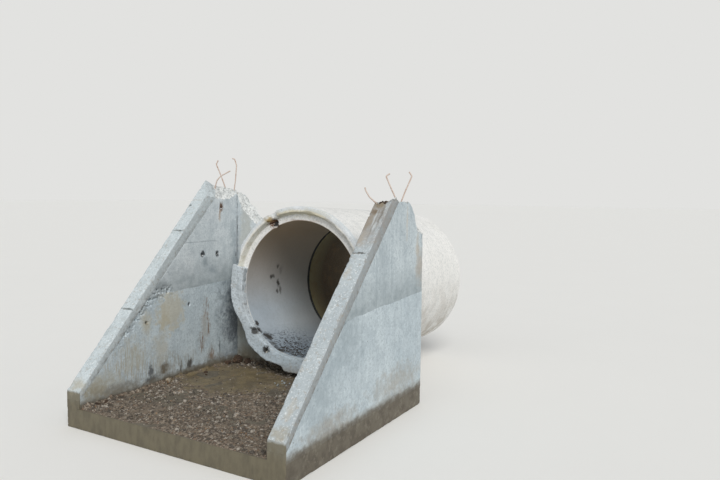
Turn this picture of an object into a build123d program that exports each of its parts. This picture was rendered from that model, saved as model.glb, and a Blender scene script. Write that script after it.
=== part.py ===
from build123d import *
import math
import os

# Culvert headwall: a base slab, two parallel wing walls with sloping copings and a back
# wall, all cast in place in two lifts around a precast concrete pipe. The top of the back
# wall is broken away, and reinforcing bars stand out of the broken ends of the wings.
#
# Millimetres. X to the right as seen from the outlet, Y towards the rear, Z up.
# The origin is on the underside of the slab, on the centre line, below the front face of
# the back wall.

# Walls and slab
slab_thickness = 150
wall_thickness = 140
channel_width = 1760
wing_length = 1770
tip_height = 135
slope_angle = 47.3
lower_lift_height = 815

# Coping along the sloping top of each wing, measured square to the slope
coping_depth_tip = 50
coping_depth_head = 115
coping_arris = 6
# Cross joints of each coping, as shares of the wing's length from its tip
coping_joints = {"left": (0.284, 0.603), "right": (0.251, 0.556)}

# Joint between the two lifts of a wing: it falls a little towards the tip, then runs down
# under the coping
pour_joint_fall_angle = 2.5
pour_joint_radius = 220

# Precast pipe with a groove at its front end and a tongue at its rear end
pipe_bore_radius = 600
pipe_wall = 125
pipe_length = 1050
pipe_projection = 247
pipe_fall_angle = 2.5
rim_centre_height = 793
groove_lip = 50
groove_depth = 50
groove_taper = 20
joint_gap = 25
joint_clearance = 4

# Mortar smeared over the outlet rim and left in its groove. Clock angles are seen from the
# outlet, counterclockwise from the right-hand side, and the lap is how far the mortar
# reaches past the outside of the pipe there
rim_mortar_proud = 8
rim_mortar_step = 4
rim_mortar_lap = (
    (166, 11), (192, 14), (203, 2), (207, -22), (220, -20), (223, 18), (236, 12),
    (247, 4), (251, -18), (259, -20), (262, 11), (280, 8), (302, 4),
)

# Spalls of the outlet rim: clock angles of each broken edge and how deep it bites into the
# outside of the pipe there, and how far it runs along the pipe before it fades out
spall_run = 70
rim_spalls = (
    ((151, 0), (157, 33), (164, 42), (166.4, 0)),
    ((110.8, 0), (112.4, 57), (115, 73), (117.6, 61), (119.2, 0)),
    ((203, 0), (207, 22), (213, 25), (220, 21), (223, 0)),
    ((249, 0), (252, 18), (259, 21), (262, 0)),
)

# Pits: clock angle, how far in from the outside of the pipe, width, height, and the depths
# behind the rim that it runs between
shoulder_pits = ((117.8, 80, 92, 84, 0, 100),)
mortar_pits = ((242, 75, 44, 52, -10, 34), (222.5, 119, 38, 44, -10, 40))

# How far a cut reaches past the face that it breaks
cut_margin = 1

# Holes left by the formwork ties: distance behind the back wall's face, and how far below
# the sloping top there
tie_hole_radius = 12
tie_hole_sides = 10
tie_hole_taper = 5
tie_hole_depth = 40
tie_holes = ((-467, 481), (-276, 692), (-642, 719), (-1124, 285), (-218, 328))
coping_hole = (0.87, -499)

# Broken tops: distance behind the face of the back wall, and how far the break lies below
# the point where the slope would have met the face of the back wall
chip_pitch = 28
chip_depth = 9
left_break_inner = ((-408, 455), (-206, 486), (-99, 472), (0, 433), (140, 458))
left_break_outer = ((-288, 310), (-176, 361), (-90, 365), (17, 359), (62, 391), (140, 406))
right_break_inner = ((-440, 481), (-380, 501), (-215, 513), (0, 531), (140, 603))
right_break_outer = (
    (-427, 462), (-368, 462), (-282, 480), (-121, 494), (-64, 534),
    (-24, 592), (19, 708), (140, 763),
)
# Hollow knocked out of the end of the right coping: share of the wall, distance, depth
right_notch = (0.5, -440, 50)
right_notch_radius = 60

# Broken top of the back wall: distance from the face of the wing, and how far below the
# same point
left_stub_front = ((0, 433), (27, 500), (64, 573), (141, 644), (239, 718), (420, 848))
left_stub_back = ((0, 458), (62, 530), (111, 566), (177, 647), (260, 713), (420, 833))
right_stub_front = ((0, 531), (60, 603), (140, 673), (240, 753), (420, 863))
right_stub_back = ((0, 603), (80, 673), (200, 763), (420, 883))

# Reinforcing bars: the share of the wall's thickness and the distance of each foot, then
# the bends and the cut end, measured from the foot
bar_diameter = 12
bar_embedment = 100
bar_bend_radius = 30
bar_sides = 12
bars = {
    "left_bar_front": ((0.75, -190), ((16, 9, 66), (47, 27, 108), (125, 73, 158))),
    "left_bar_middle": ((0.75, -40), ((-42, -24, 134), (-79, -45, 238), (-62, -36, 274))),
    "left_bar_rear": ((0.75, 79), ((11, 7, 94), (22, 12, 245), (6, 3, 305), (-15, -9, 311))),
    "right_bar_front": ((0.14, -435), ((-56, -32, 58), (-81, -47, 107), (-86, -50, 131))),
    "right_bar_middle": ((0.86, -314), ((-37, -22, 91), (-73, -42, 186), (-47, -27, 207))),
    "right_bar_rear": ((0.86, -235), ((28, 16, 86), (71, 41, 203), (51, 30, 236))),
}

# Values worked out from the sizes above
half_channel = channel_width / 2
half_width = half_channel + wall_thickness
tip_y = -wing_length
slope = math.radians(slope_angle)
pipe_outer_radius = pipe_bore_radius + pipe_wall
groove_mouth_radius = pipe_outer_radius - groove_lip
groove_root_radius = groove_mouth_radius - groove_taper
lift_level = slab_thickness + lower_lift_height
rim_plane = Plane(
    origin=(0, -pipe_projection, slab_thickness + rim_centre_height),
    x_dir=(1, 0, 0),
    z_dir=(0, math.cos(math.radians(pipe_fall_angle)), -math.sin(math.radians(pipe_fall_angle))),
)
pipe_lay_length = pipe_length - groove_depth + joint_gap
tongue_shift = groove_taper * joint_gap / groove_depth - joint_clearance
above_all = slab_thickness + tip_height + 2 * wing_length


def slope_height(y):
    """Height of the sloping top of a wing at the distance y."""
    return slab_thickness + tip_height + (y - tip_y) * math.tan(slope)


def coping_foot(y):
    """Point under the coping, square to the slope below its top at the distance y."""
    depth = coping_depth_tip + (coping_depth_head - coping_depth_tip) * (y - tip_y) / wing_length
    return (y + depth * math.sin(slope), slope_height(y) - depth * math.cos(slope))


def coping_underside(y):
    """Height of the underside of the coping at the distance y."""
    y0, z0 = coping_foot(tip_y)
    y1, z1 = coping_foot(0)
    return z0 + (z1 - z0) * (y - y0) / (y1 - y0)


def interpolate(table, at):
    """Value of a table between its points, level beyond its ends."""
    if at <= table[0][0]:
        return table[0][1]
    for (a, za), (b, zb) in zip(table, table[1:]):
        if at <= b:
            return za + (zb - za) * (at - a) / (b - a)
    return table[-1][1]


def chip(x, y):
    """Roughness of broken concrete at a place, the same wherever two pieces meet."""
    wave = math.sin(x * 0.1299 + y * 0.7823) * 437.585
    return chip_depth * (2 * (wave - math.floor(wave)) - 1)


def wing_break(side, x, y):
    """Height of the broken top of a wing at a place."""
    share = (abs(x) - half_channel) / wall_thickness
    if side < 0:
        inner, outer, notch = left_break_inner, left_break_outer, 0
    else:
        inner, outer = right_break_inner, right_break_outer
        off = math.hypot((share - right_notch[0]) * wall_thickness, y - right_notch[1])
        notch = right_notch[2] * max(0, 1 - off / right_notch_radius) ** 0.5
    drop = interpolate(inner, y) * (1 - share) + interpolate(outer, y) * share
    return slope_height(0) - drop - notch + chip(x, y)


def stub_break(side, x, y):
    """Height of the broken top of the back wall at a place."""
    front, back = (left_stub_front, left_stub_back) if side < 0 else (right_stub_front, right_stub_back)
    share = y / wall_thickness
    in_from_wing = half_channel - abs(x)
    drop = interpolate(front, in_from_wing) * (1 - share) + interpolate(back, in_from_wing) * share
    return slope_height(0) - drop + chip(x, y)


def broken_away(x_range, y_range, height):
    """Solid of the missing concrete over a rectangle, with a chipped underside."""
    columns = max(2, round((x_range[1] - x_range[0]) / chip_pitch))
    rows = max(2, round((y_range[1] - y_range[0]) / chip_pitch))
    xs = [x_range[0] + (x_range[1] - x_range[0]) * i / columns for i in range(columns + 1)]
    ys = [y_range[0] + (y_range[1] - y_range[0]) * j / rows for j in range(rows + 1)]
    side = -1 if x_range[0] < 0 else 1
    grid = [[Vector(x, y, height(side, x, y)) for y in ys] for x in xs]
    loops = []
    for i in range(columns):
        for j in range(rows):
            a, b, c, d = grid[i][j], grid[i + 1][j], grid[i + 1][j + 1], grid[i][j + 1]
            loops += [(a, b, c), (a, c, d)]
    edges = (
        grid[0],
        grid[-1],
        [column[0] for column in grid],
        [column[-1] for column in grid],
    )
    for edge in edges:
        first, last = edge[0], edge[-1]
        loops.append((*edge, Vector(last.X, last.Y, above_all), Vector(first.X, first.Y, above_all)))
    corners = [(xs[0], ys[0]), (xs[-1], ys[0]), (xs[-1], ys[-1]), (xs[0], ys[-1])]
    loops.append([Vector(x, y, above_all) for x, y in corners])
    return Solid(Shell([Face(Wire.make_polygon(loop)) for loop in loops]))


def wing_prism(side, outline):
    """Prism as thick as a wing wall, from an outline of edges in the Y-Z plane."""
    x_low = half_channel if side > 0 else -half_width
    return extrude(Plane.YZ.offset(x_low) * make_face(outline), amount=wall_thickness)


def wing_lower_lift(side):
    """First lift of a wing, from the slab to the joint between the lifts."""
    back = (wall_thickness, lift_level)
    tip = (tip_y, coping_underside(tip_y))
    rise = (coping_underside(0) - tip[1]) / wing_length
    fall = math.tan(math.radians(pour_joint_fall_angle))
    y_knee = (back[1] - fall * back[0] - tip[1] + rise * tip[0]) / (rise - fall)
    joint = FilletPolyline(back, (y_knee, coping_underside(y_knee)), tip, radius=pour_joint_radius)
    rest = Polyline(tip, (tip_y, slab_thickness), (wall_thickness, slab_thickness), back)
    return wing_prism(side, joint.edges() + rest.edges())


def wing_missing_top(side):
    """Concrete broken off the head of a wing."""
    table = left_break_inner if side < 0 else right_break_inner
    x_range = sorted((side * half_channel, side * half_width))
    return broken_away(x_range, (table[0][0] - chip_pitch * 3, wall_thickness), wing_break)


def tie_hole():
    """Tapered blind hole of a formwork tie, upwards from its mouth."""
    return extrude(RegularPolygon(tie_hole_radius, tie_hole_sides), amount=tie_hole_depth, taper=tie_hole_taper)


def wing_tie_holes(side):
    """Holes of the formwork ties in the inner face of a wing."""
    mouths = [(side * half_channel, y, slope_height(y) - drop) for y, drop in tie_holes]
    return [Pos(*mouth) * Rot(0, 90 * side, 0) * tie_hole() for mouth in mouths]


def wing_upper_lift(side, lower_lift, missing):
    """Second lift of a wing, on the first one, up to the coping and the broken head."""
    body = Polyline(
        (tip_y, slab_thickness),
        (tip_y, coping_underside(tip_y)),
        (wall_thickness, coping_underside(wall_thickness)),
        (wall_thickness, slab_thickness),
        close=True,
    )
    return wing_prism(side, body) - lower_lift - missing


def coping_length(side, start, stop):
    """One length of the coping, between two plan distances from the tip."""
    y0, y1 = tip_y + start, tip_y + stop
    foot0 = (tip_y, coping_underside(tip_y)) if start == 0 else coping_foot(y0)
    outline = Polyline(
        foot0, (y0, slope_height(y0)), (y1, slope_height(y1)), coping_foot(y1), close=True
    )
    length = wing_prism(side, outline)
    top = length.faces().sort_by(Axis((0, 0, 0), (0, -math.sin(slope), math.cos(slope))))[-1]
    long_edges = [edge for edge in top.edges() if abs((edge @ 0).X - (edge @ 1).X) < coping_arris]
    return chamfer(long_edges, coping_arris)


def hole_in_coping():
    """Small hole square to the top of the left coping, near its outer edge."""
    share, y = coping_hole
    mouth = Plane(
        origin=(-half_channel - share * wall_thickness, y, slope_height(y)),
        x_dir=(1, 0, 0),
        z_dir=(0, math.sin(slope), -math.cos(slope)),
    )
    return mouth * tie_hole()


def on_rim(clock, radius):
    """Point of the rim's plane at a clock angle seen from the outlet."""
    angle = math.radians(clock)
    return (radius * math.cos(angle), -radius * math.sin(angle))


def between(front, rear, front_depth, rear_depth):
    """Solid between two outlines with as many points, at two depths behind the rim."""
    sections = [
        Pos(0, 0, depth) * make_face(Polyline(*outline, close=True))
        for outline, depth in ((front, front_depth), (rear, rear_depth))
    ]
    return loft(sections, ruled=True)


def rim_spall(edge):
    """Piece knocked off the outside of the rim, which fades out along the pipe."""
    beyond = [on_rim(clock, pipe_outer_radius + spall_run) for clock, _ in reversed(edge)]
    front = [on_rim(clock, pipe_outer_radius - (bite or -cut_margin)) for clock, bite in edge]
    rear = [on_rim(clock, pipe_outer_radius + cut_margin) for clock, _ in edge]
    return between(front + beyond, rear + beyond, -cut_margin, spall_run)


def rim_pit(clock, inset, width, height, front_depth, rear_depth):
    """Irregular pit with eight sides that narrows towards its bottom."""
    radius = pipe_outer_radius - inset
    outlines = []
    for scale in (1, 0.55):
        outline = []
        for i in range(8):
            angle = math.radians(45 * i)
            reach = scale * (0.5 + chip(clock, i) / chip_depth * 0.07)
            across = width * reach * math.cos(angle)
            out = height * reach * math.sin(angle)
            outline.append(on_rim(clock + math.degrees(across / radius), radius + out))
        outlines.append(outline)
    return between(*outlines, front_depth, rear_depth)


def pipe_ring():
    """One precast pipe with a groove at the front and a tongue at the rear."""
    shoulder = pipe_length - groove_depth
    profile = Polyline(
        (groove_mouth_radius, 0),
        (pipe_outer_radius, 0),
        (pipe_outer_radius, shoulder),
        (groove_mouth_radius + tongue_shift, shoulder),
        (groove_root_radius + tongue_shift, pipe_length),
        (pipe_bore_radius, pipe_length),
        (pipe_bore_radius, groove_depth),
        (groove_root_radius, groove_depth),
        close=True,
    )
    return revolve(Plane.XZ * make_face(profile), axis=Axis.Z)


def front_pipe():
    """The pipe at the outlet, with its spalled rim."""
    ring = pipe_ring()
    for edge in rim_spalls:
        ring = ring - rim_spall(edge)
    for pit in shoulder_pits:
        ring = ring - rim_pit(*pit)
    return ring


def pipe_joint_mortar():
    """Ring of mortar in the outer gap between the two pipes."""
    start = pipe_length - groove_depth
    profile = Polyline(
        (groove_mouth_radius + tongue_shift, start),
        (pipe_outer_radius, start),
        (pipe_outer_radius, pipe_lay_length),
        (groove_mouth_radius - joint_clearance, pipe_lay_length),
        close=True,
    )
    return revolve(Plane.XZ * make_face(profile), axis=Axis.Z)


def rim_mortar(pipe):
    """Mortar over the lower left of the outlet rim, which still fills the groove there."""
    first, last = rim_mortar_lap[0][0], rim_mortar_lap[-1][0]
    clocks = [first + i * rim_mortar_step for i in range(int((last - first) / rim_mortar_step) + 1)]
    ragged = chip_depth / 2
    outer = [
        on_rim(clock, pipe_outer_radius + interpolate(rim_mortar_lap, clock) + chip(clock, 0) / 3)
        for clock in clocks
    ]
    inner = [on_rim(clock, pipe_bore_radius + ragged + chip(clock, 1) / 3) for clock in reversed(clocks)]
    outline = make_face(Polyline(*outer, *inner, close=True))
    mortar = extrude(Pos(0, 0, -rim_mortar_proud) * outline, amount=groove_depth + rim_mortar_proud)
    for pit in mortar_pits:
        mortar = mortar - rim_pit(*pit)
    return mortar - pipe


def pipe_envelope():
    """Solid cylinder of the outside of the pipes, which the walls are cast around."""
    length = 2 * pipe_length
    return rim_plane * Cylinder(pipe_outer_radius, length, align=(Align.CENTER, Align.CENTER, Align.MIN))


def back_wall_lower_lift():
    """First lift of the back wall, with the saddle under the pipe."""
    block = Pos(0, 0, slab_thickness) * Box(
        channel_width, wall_thickness, lower_lift_height, align=(Align.CENTER, Align.MIN, Align.MIN)
    )
    return block - pipe_envelope()


def back_wall_stub(side):
    """What is left of the second lift of the back wall, beside the pipe."""
    x_low, x_high = sorted((0, side * half_channel))
    block = Pos(x_low, 0, lift_level) * Box(
        half_channel, wall_thickness, wing_length, align=Align.MIN
    )
    missing = broken_away((x_low, x_high), (0, wall_thickness), stub_break)
    return block - missing - pipe_envelope()


def bar(side, name):
    """Reinforcing bar that is cast in the wing and stands out of the broken concrete."""
    (share, y), bends = bars[name]
    x = side * (half_channel + share * wall_thickness)
    foot = Vector(x, y, min(slope_height(y), wing_break(side, x, y)))
    route = [foot + Vector(*bend) for bend in bends]
    path = FilletPolyline(foot - Vector(0, 0, bar_embedment), foot, *route, radius=bar_bend_radius)
    section = RegularPolygon(bar_diameter / 2, bar_sides)
    return sweep(Plane(origin=path @ 0, z_dir=path % 0) * section, path=path)


def largest(shape):
    """The biggest solid of a cut shape, without loose chips."""
    return max(shape.solids(), key=lambda solid: solid.volume)


def wing(side, name):
    """Pieces of one wing by name: two lifts, three lengths of coping and three bars."""
    missing = wing_missing_top(side)
    lower_lift = wing_lower_lift(side)
    upper_lift = wing_upper_lift(side, lower_lift, missing)
    for hole in wing_tie_holes(side):
        lower_lift = lower_lift - hole
        upper_lift = upper_lift - hole
    first, second = [share * wing_length for share in coping_joints[name]]
    coping_upper = coping_length(side, second, wing_length + wall_thickness) - missing
    if side < 0:
        coping_upper = coping_upper - hole_in_coping()
    pieces = {
        f"{name}_wing_lower_lift": lower_lift,
        f"{name}_back_wall_stub": largest(back_wall_stub(side)),
        f"{name}_coping_lower": coping_length(side, 0, first),
        f"{name}_coping_middle": coping_length(side, first, second),
    }
    for bar_name in bars:
        if bar_name.startswith(name):
            rod = bar(side, bar_name)
            pieces[bar_name] = rod
            upper_lift = upper_lift - rod
            coping_upper = coping_upper - rod
    pieces[f"{name}_wing_upper_lift"] = largest(upper_lift)
    pieces[f"{name}_coping_upper"] = largest(coping_upper)
    return pieces


def build():
    """All pieces of the headwall by name."""
    slab = Box(
        2 * half_width,
        wing_length + wall_thickness,
        slab_thickness,
        align=(Align.CENTER, Align.MAX, Align.MIN),
    )
    pipe = front_pipe()
    nodes = {
        "base_slab": Pos(0, wall_thickness, 0) * slab,
        "back_wall_lower_lift": back_wall_lower_lift(),
        "pipe_front_section": rim_plane * pipe,
        "pipe_second_section": rim_plane * (Pos(0, 0, pipe_lay_length) * pipe_ring()),
        "pipe_joint_mortar": rim_plane * pipe_joint_mortar(),
        "rim_groove_mortar": rim_plane * largest(rim_mortar(pipe)),
    }
    nodes.update(wing(-1, "left"))
    nodes.update(wing(1, "right"))
    return nodes


os.makedirs("parts", exist_ok=True)
for node, shape in build().items():
    export_step(shape, f"parts/{node}.step")
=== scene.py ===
"""Broken culvert headwall: cast wing walls and a cast back wall round a precast concrete pipe.

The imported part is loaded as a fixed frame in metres: X to the right as seen from the outlet, Y towards
the rear and Z up, with the origin on the underside of the slab below the face of the back wall.
Each cast solid is shown by a copy of it with worn arrises and rough breaks, and the pipes, the mortar
and the bars are built again with the detail of the real ones.
"""

import logging
import math
import random
from collections.abc import Callable
from dataclasses import dataclass
from enum import Enum

import bmesh
import bpy
from mathutils import Matrix, Vector, noise


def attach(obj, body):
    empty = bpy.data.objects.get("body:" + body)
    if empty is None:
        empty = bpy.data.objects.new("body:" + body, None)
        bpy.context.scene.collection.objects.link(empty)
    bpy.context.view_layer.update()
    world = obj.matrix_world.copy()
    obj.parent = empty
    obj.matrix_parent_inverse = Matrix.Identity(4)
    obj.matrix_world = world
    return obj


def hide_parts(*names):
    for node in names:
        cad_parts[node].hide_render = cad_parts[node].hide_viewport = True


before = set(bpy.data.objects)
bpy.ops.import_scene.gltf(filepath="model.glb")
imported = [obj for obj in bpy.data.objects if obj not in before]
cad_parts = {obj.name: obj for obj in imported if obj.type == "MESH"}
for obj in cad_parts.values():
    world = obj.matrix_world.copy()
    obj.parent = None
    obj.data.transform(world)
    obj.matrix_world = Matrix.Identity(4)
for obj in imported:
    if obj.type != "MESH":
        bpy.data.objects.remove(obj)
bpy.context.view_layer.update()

log = logging.getLogger("headwall")

BODY = "root"

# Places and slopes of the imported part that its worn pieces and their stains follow.
WALL_FACE = 0.88
WALL_THICKNESS = 0.14
SLAB_TOP = 0.15
TIP_Y = -1.77
TIP_TOP = 0.285
SLOPE = math.radians(47.3)
LIFT_BACK = (0.14, 0.965)
LIFT_FALL = math.tan(math.radians(2.5))
UNDERSIDE_FOOT = (-1.73325, 0.25109)
UNDERSIDE_RISE = 1.0309
RIM_CENTRE = (0.0, -0.247, 0.943)
PIPE_FALL = math.radians(2.5)

# Directions in the frame of the part.
UP = (0.0, 0.0, 1.0)
DOWN = (0.0, 0.0, -1.0)
FORWARD = (0.0, -1.0, 0.0)
REARWARD = (0.0, 1.0, 0.0)

# The noise that makes stains ragged and patches soft, and the chance that a spot is left out.
WANDER = {"Scale": 16.0, "Detail": 7.0, "Roughness": 0.68}
SOFT_NOISE = {"Scale": 1.0, "Detail": 5.0, "Roughness": 0.6}
SEED_SHIFTS = (1.0, 1.7, 0.6)
STAIN_RAGGEDNESS = 2.4
LINE_RAGGEDNESS = 0.05
SPOT_RANGE = 0.8
SPOT_LOSS = 0.3

# How copies of the CAD solids are merged and cut, and how loose stones vary.
MERGE_DISTANCE = 2e-5
FLAT_ANGLE = math.radians(0.3)
CUT_OFFSET = 0.13
CUT_TOLERANCE = 1e-6
STONE_PROPORTIONS = ((0.8, 1.25), (0.7, 1.1), (0.55, 0.9))
STONE_ANGULARITY = 0.12
STONES_A_BATCH = 60

Mesh = bmesh.types.BMesh
Material = bpy.types.Material
Socket = bpy.types.NodeSocket
Colour = tuple[float, float, float, float]
Place = tuple[float, float, float]
Layer = tuple[Socket, str, float]
Table = tuple[tuple[float, float], ...]


class Side(Enum):
    """The two wings, by the sign of X."""

    LEFT = -1
    RIGHT = 1

    @property
    def word(self) -> str:
        """The side's name in the names of the pieces."""
        return self.name.lower()


class Skin(Enum):
    """Slots of a cast piece's mesh."""

    FORMED = 0
    BROKEN = 1
    ARRIS = 2


def linear(code: str) -> Colour:
    """Turns an sRGB hex colour into linear light.

    Args:
        code: The colour as #rrggbb.

    Returns:
        Linear red, green, blue and an alpha of 1.
    """
    channels = [int(code[i : i + 2], 16) / 255 for i in (1, 3, 5)]
    light = [c / 12.92 if c <= 0.04045 else ((c + 0.055) / 1.055) ** 2.4 for c in channels]
    return (*light, 1.0)


@dataclass(frozen=True)
class Mark:
    """A mark at a place of the object: a stain, or a patch of painted shade."""

    centre: Place
    reach: Place
    colour: str
    strength: float
    core: float = 0.3


def add_node(
    tree: bpy.types.NodeTree, kind: str, inputs: tuple | dict = (), **settings: str
) -> bpy.types.Node:
    """Adds a node with its settings, values and links.

    Args:
        tree: The node tree.
        kind: The node's type, without the word ShaderNode.
        inputs: Values, or the sockets that feed them, in order or by the input's name or number.
        settings: Properties of the node.

    Returns:
        The new node.
    """
    node = tree.nodes.new(f"ShaderNode{kind}")
    for name, value in settings.items():
        setattr(node, name, value)
    for key, value in inputs.items() if isinstance(inputs, dict) else enumerate(inputs):
        if isinstance(value, Socket):
            tree.links.new(value, node.inputs[key])
        else:
            node.inputs[key].default_value = value
    return node


class Surface:
    """The node tree of one finish, with the patterns that concrete, rust, grime and painted shade are made
    of.

    A Map Range node's first three inputs are its value and what gives 0 and 1.
    """

    def __init__(self, name: str) -> None:
        """Starts an empty tree with the object's own place and a ragged copy of it.

        Args:
            name: The material's name.
        """
        self.material = bpy.data.materials.new(name)
        self.material.use_nodes = True
        self.tree = self.material.node_tree
        self.tree.nodes.clear()
        self.place = add_node(self.tree, "TexCoord").outputs["Object"]
        wander = add_node(self.tree, "TexNoise", {"Vector": self.place, **WANDER}).outputs["Color"]
        self.push, shift = [
            add_node(
                self.tree,
                "VectorMath",
                (wander, (width,) * 3, (-width / 2,) * 3),
                operation="MULTIPLY_ADD",
            ).outputs[0]
            for width in (STAIN_RAGGEDNESS, LINE_RAGGEDNESS)
        ]
        self.ragged = add_node(self.tree, "VectorMath", (self.place, shift), operation="ADD").outputs[0]

    def pipe_place(self, ragged: bool = False) -> Socket:
        """The place seen along the pipe: across, depth behind the rim and height over the axis.

        Args:
            ragged: Whether the place wanders a little, for stains.

        Returns:
            The vector socket.
        """
        place = self.ragged if ragged else self.place
        frame_of_pipe = {"Vector": place, "Location": RIM_CENTRE, "Rotation": (-PIPE_FALL, 0.0, 0.0)}
        return add_node(self.tree, "Mapping", frame_of_pipe, vector_type="TEXTURE").outputs[0]

    def cloud(
        self, size_mm: float, low: float, high: float, stretch: Place = (1.0, 1.0, 1.0), seed: float = 0.0
    ) -> Socket:
        """Soft patches of about one size.

        Args:
            size_mm: The size of a patch.
            low: The noise level that gives 0.
            high: The noise level that gives 1.
            stretch: How much longer the patches are along each axis.
            seed: Moves the pattern.

        Returns:
            The mask, from 0 to 1.
        """
        spread = {
            "Vector": self.place,
            "Location": tuple(seed * shift for shift in SEED_SHIFTS),
            "Scale": tuple(1000 / size_mm / s for s in stretch),
        }
        place = add_node(self.tree, "Mapping", spread).outputs[0]
        field = add_node(self.tree, "TexNoise", {"Vector": place, **SOFT_NOISE}).outputs[0]
        return add_node(self.tree, "MapRange", (field, low, high)).outputs[0]

    def pores(self, spacing_mm: float, width_mm: float, seed: float = 0.0) -> Socket:
        """Round spots of many sizes, such as air holes or grit.

        Args:
            spacing_mm: The mean distance between spots.
            width_mm: The width of the largest spot.
            seed: Moves the pattern.

        Returns:
            The mask: 1 in the middle of a spot, 0 at its edge.
        """
        spread = {"Vector": self.place, "Location": (seed, -seed, 2 * seed)}
        place = add_node(self.tree, "Mapping", spread).outputs[0]
        cells = add_node(self.tree, "TexVoronoi", {"Vector": place, "Scale": 1000 / spacing_mm})
        chance = add_node(self.tree, "SeparateColor", (cells.outputs["Color"],)).outputs[0]
        span = (SPOT_RANGE * width_mm / spacing_mm, -SPOT_LOSS * width_mm / spacing_mm)
        width = add_node(self.tree, "Math", (chance, *span), operation="MULTIPLY_ADD").outputs[0]
        reach = add_node(self.tree, "Math", (width, 0.001), operation="MAXIMUM").outputs[0]
        return add_node(self.tree, "MapRange", (cells.outputs["Distance"], reach, 0.0)).outputs[0]

    def measured(
        self, operation: str, vectors: tuple[Socket | Place, ...], start: Socket | float, stop: float
    ) -> Socket:
        """A mask that rises with the length of a vector, or with its part along another.

        Args:
            operation: LENGTH or DOT_PRODUCT.
            vectors: The one vector or the two.
            start: The measure at which the mask leaves 0.
            stop: The measure at which it reaches 1.

        Returns:
            The mask, from 0 to 1.
        """
        measure = add_node(self.tree, "VectorMath", vectors, operation=operation).outputs["Value"]
        return add_node(self.tree, "MapRange", (measure, start, stop)).outputs[0]

    def patch(self, stain: Mark, place: Socket | None = None) -> Socket:
        """One mark, whether stain, damp or painted shade: a patch with a ragged edge, the more ragged the
        larger it is.

        Args:
            stain: The mark.
            place: The place that it is measured in, the object's own where none is given.

        Returns:
            The mask, from 0 to 1.
        """
        vector: Socket = self.place if place is None else place
        for operation, value in (("SUBTRACT", stain.centre), ("DIVIDE", stain.reach), ("ADD", self.push)):
            vector = add_node(self.tree, "VectorMath", (vector, value), operation=operation).outputs[0]
        return self.measured("LENGTH", (vector,), 1.0, stain.core)

    def stained(self, stains: tuple[Mark, ...], place: Socket | None = None) -> list[Layer]:
        """Layers of a row of marks, stains and patches of painted shade alike, measured in the object's
        own place where none is given.
        """
        return [(self.patch(stain, place), stain.colour, stain.strength) for stain in stains]

    def band(self, weights: Place, start: float, stop: float, place: Socket | None = None) -> Socket:
        """A mask that rises across the object.

        Args:
            weights: The direction in which it rises.
            start: The distance along it, from the origin, at which it leaves 0.
            stop: The distance at which it reaches 1.
            place: The place that it is measured in, the object's own where none is given.

        Returns:
            The mask, from 0 to 1.
        """
        vectors = (self.place if place is None else place, weights)
        return self.measured("DOT_PRODUCT", vectors, start, stop)

    def radius(self, start: float, stop: float) -> Socket:
        """A mask that rises with the distance from the axis of the pipe.

        Args:
            start: The radius at which it leaves 0.
            stop: The radius at which it reaches 1.

        Returns:
            The mask, from 0 to 1.
        """
        vectors = (self.pipe_place(), (1.0, 0.0, 1.0))
        flat = add_node(self.tree, "VectorMath", vectors, operation="MULTIPLY").outputs[0]
        return self.measured("LENGTH", (flat,), start, stop)

    def facing(self, direction: Place, low: float, high: float) -> Socket:
        """A mask of the faces that look in a direction, 0 and 1 where the cosine is low and high."""
        normal = add_node(self.tree, "NewGeometry").outputs["True Normal"]
        return self.measured("DOT_PRODUCT", (normal, direction), low, high)

    def wet_and_shaded_end(self, dry: float, wet: float) -> Socket:
        """The front end of a wing, up to a ragged line, where mud and painted shade are laid.

        Args:
            dry: The height above which the end is left clear.
            wet: The height below which the end takes its mud and painted shade in full.

        Returns:
            The mask, from 0 to 1.
        """
        front = self.band(FORWARD, -TIP_Y - 0.012, -TIP_Y - 0.004)
        return self.overlap(front, self.band(DOWN, -dry, -wet, self.ragged))

    def overlap(self, *masks: Socket) -> Socket:
        """The place where several masks meet.

        Args:
            masks: The masks.

        Returns:
            Their product.
        """
        shared = masks[0]
        for mask in masks[1:]:
            shared = add_node(self.tree, "Math", (shared, mask), operation="MULTIPLY").outputs[0]
        return shared

    def paint(self, base: str, layers: list[Layer]) -> Socket:
        """Lays colours over a base colour, one after another.

        Args:
            base: The base colour.
            layers: The mask, colour and strength of each layer.

        Returns:
            The colour.
        """
        colour: Colour | Socket = linear(base)
        for mask, code, strength in layers:
            amount = add_node(self.tree, "Math", (mask, strength), operation="MULTIPLY").outputs[0]
            coats = {0: amount, 6: colour, 7: linear(code)}
            colour = add_node(self.tree, "Mix", coats, data_type="RGBA").outputs[2]
        return colour

    def close(
        self, colour: Socket, shine: tuple[Socket, float, float], relief: list[tuple[Socket, float]]
    ) -> Material:
        """Ends the tree with a dull shader and the relief of the surface.

        Args:
            colour: The colour.
            shine: A mask, and the roughness where it is 0 and where it is 1.
            relief: Masks and how high each one stands, in millimetres.

        Returns:
            The finished material.
        """
        height: float | Socket = 0.0
        for mask, rise_mm in relief:
            rise = (mask, rise_mm / 1000, height)
            height = add_node(self.tree, "Math", rise, operation="MULTIPLY_ADD").outputs[0]
        bump = add_node(self.tree, "Bump", {"Strength": 1.0, "Distance": 1.0, "Height": height})
        mask, dull, bright = shine
        roughness = add_node(self.tree, "MapRange", {"Value": mask, "To Min": dull, "To Max": bright})
        look = {
            "Base Color": colour,
            "Roughness": roughness.outputs[0],
            "Normal": bump.outputs[0],
            "IOR": 1.5,
        }
        shader = add_node(self.tree, "BsdfPrincipled", look)
        add_node(self.tree, "OutputMaterial", (shader.outputs[0],))
        return self.material


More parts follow.
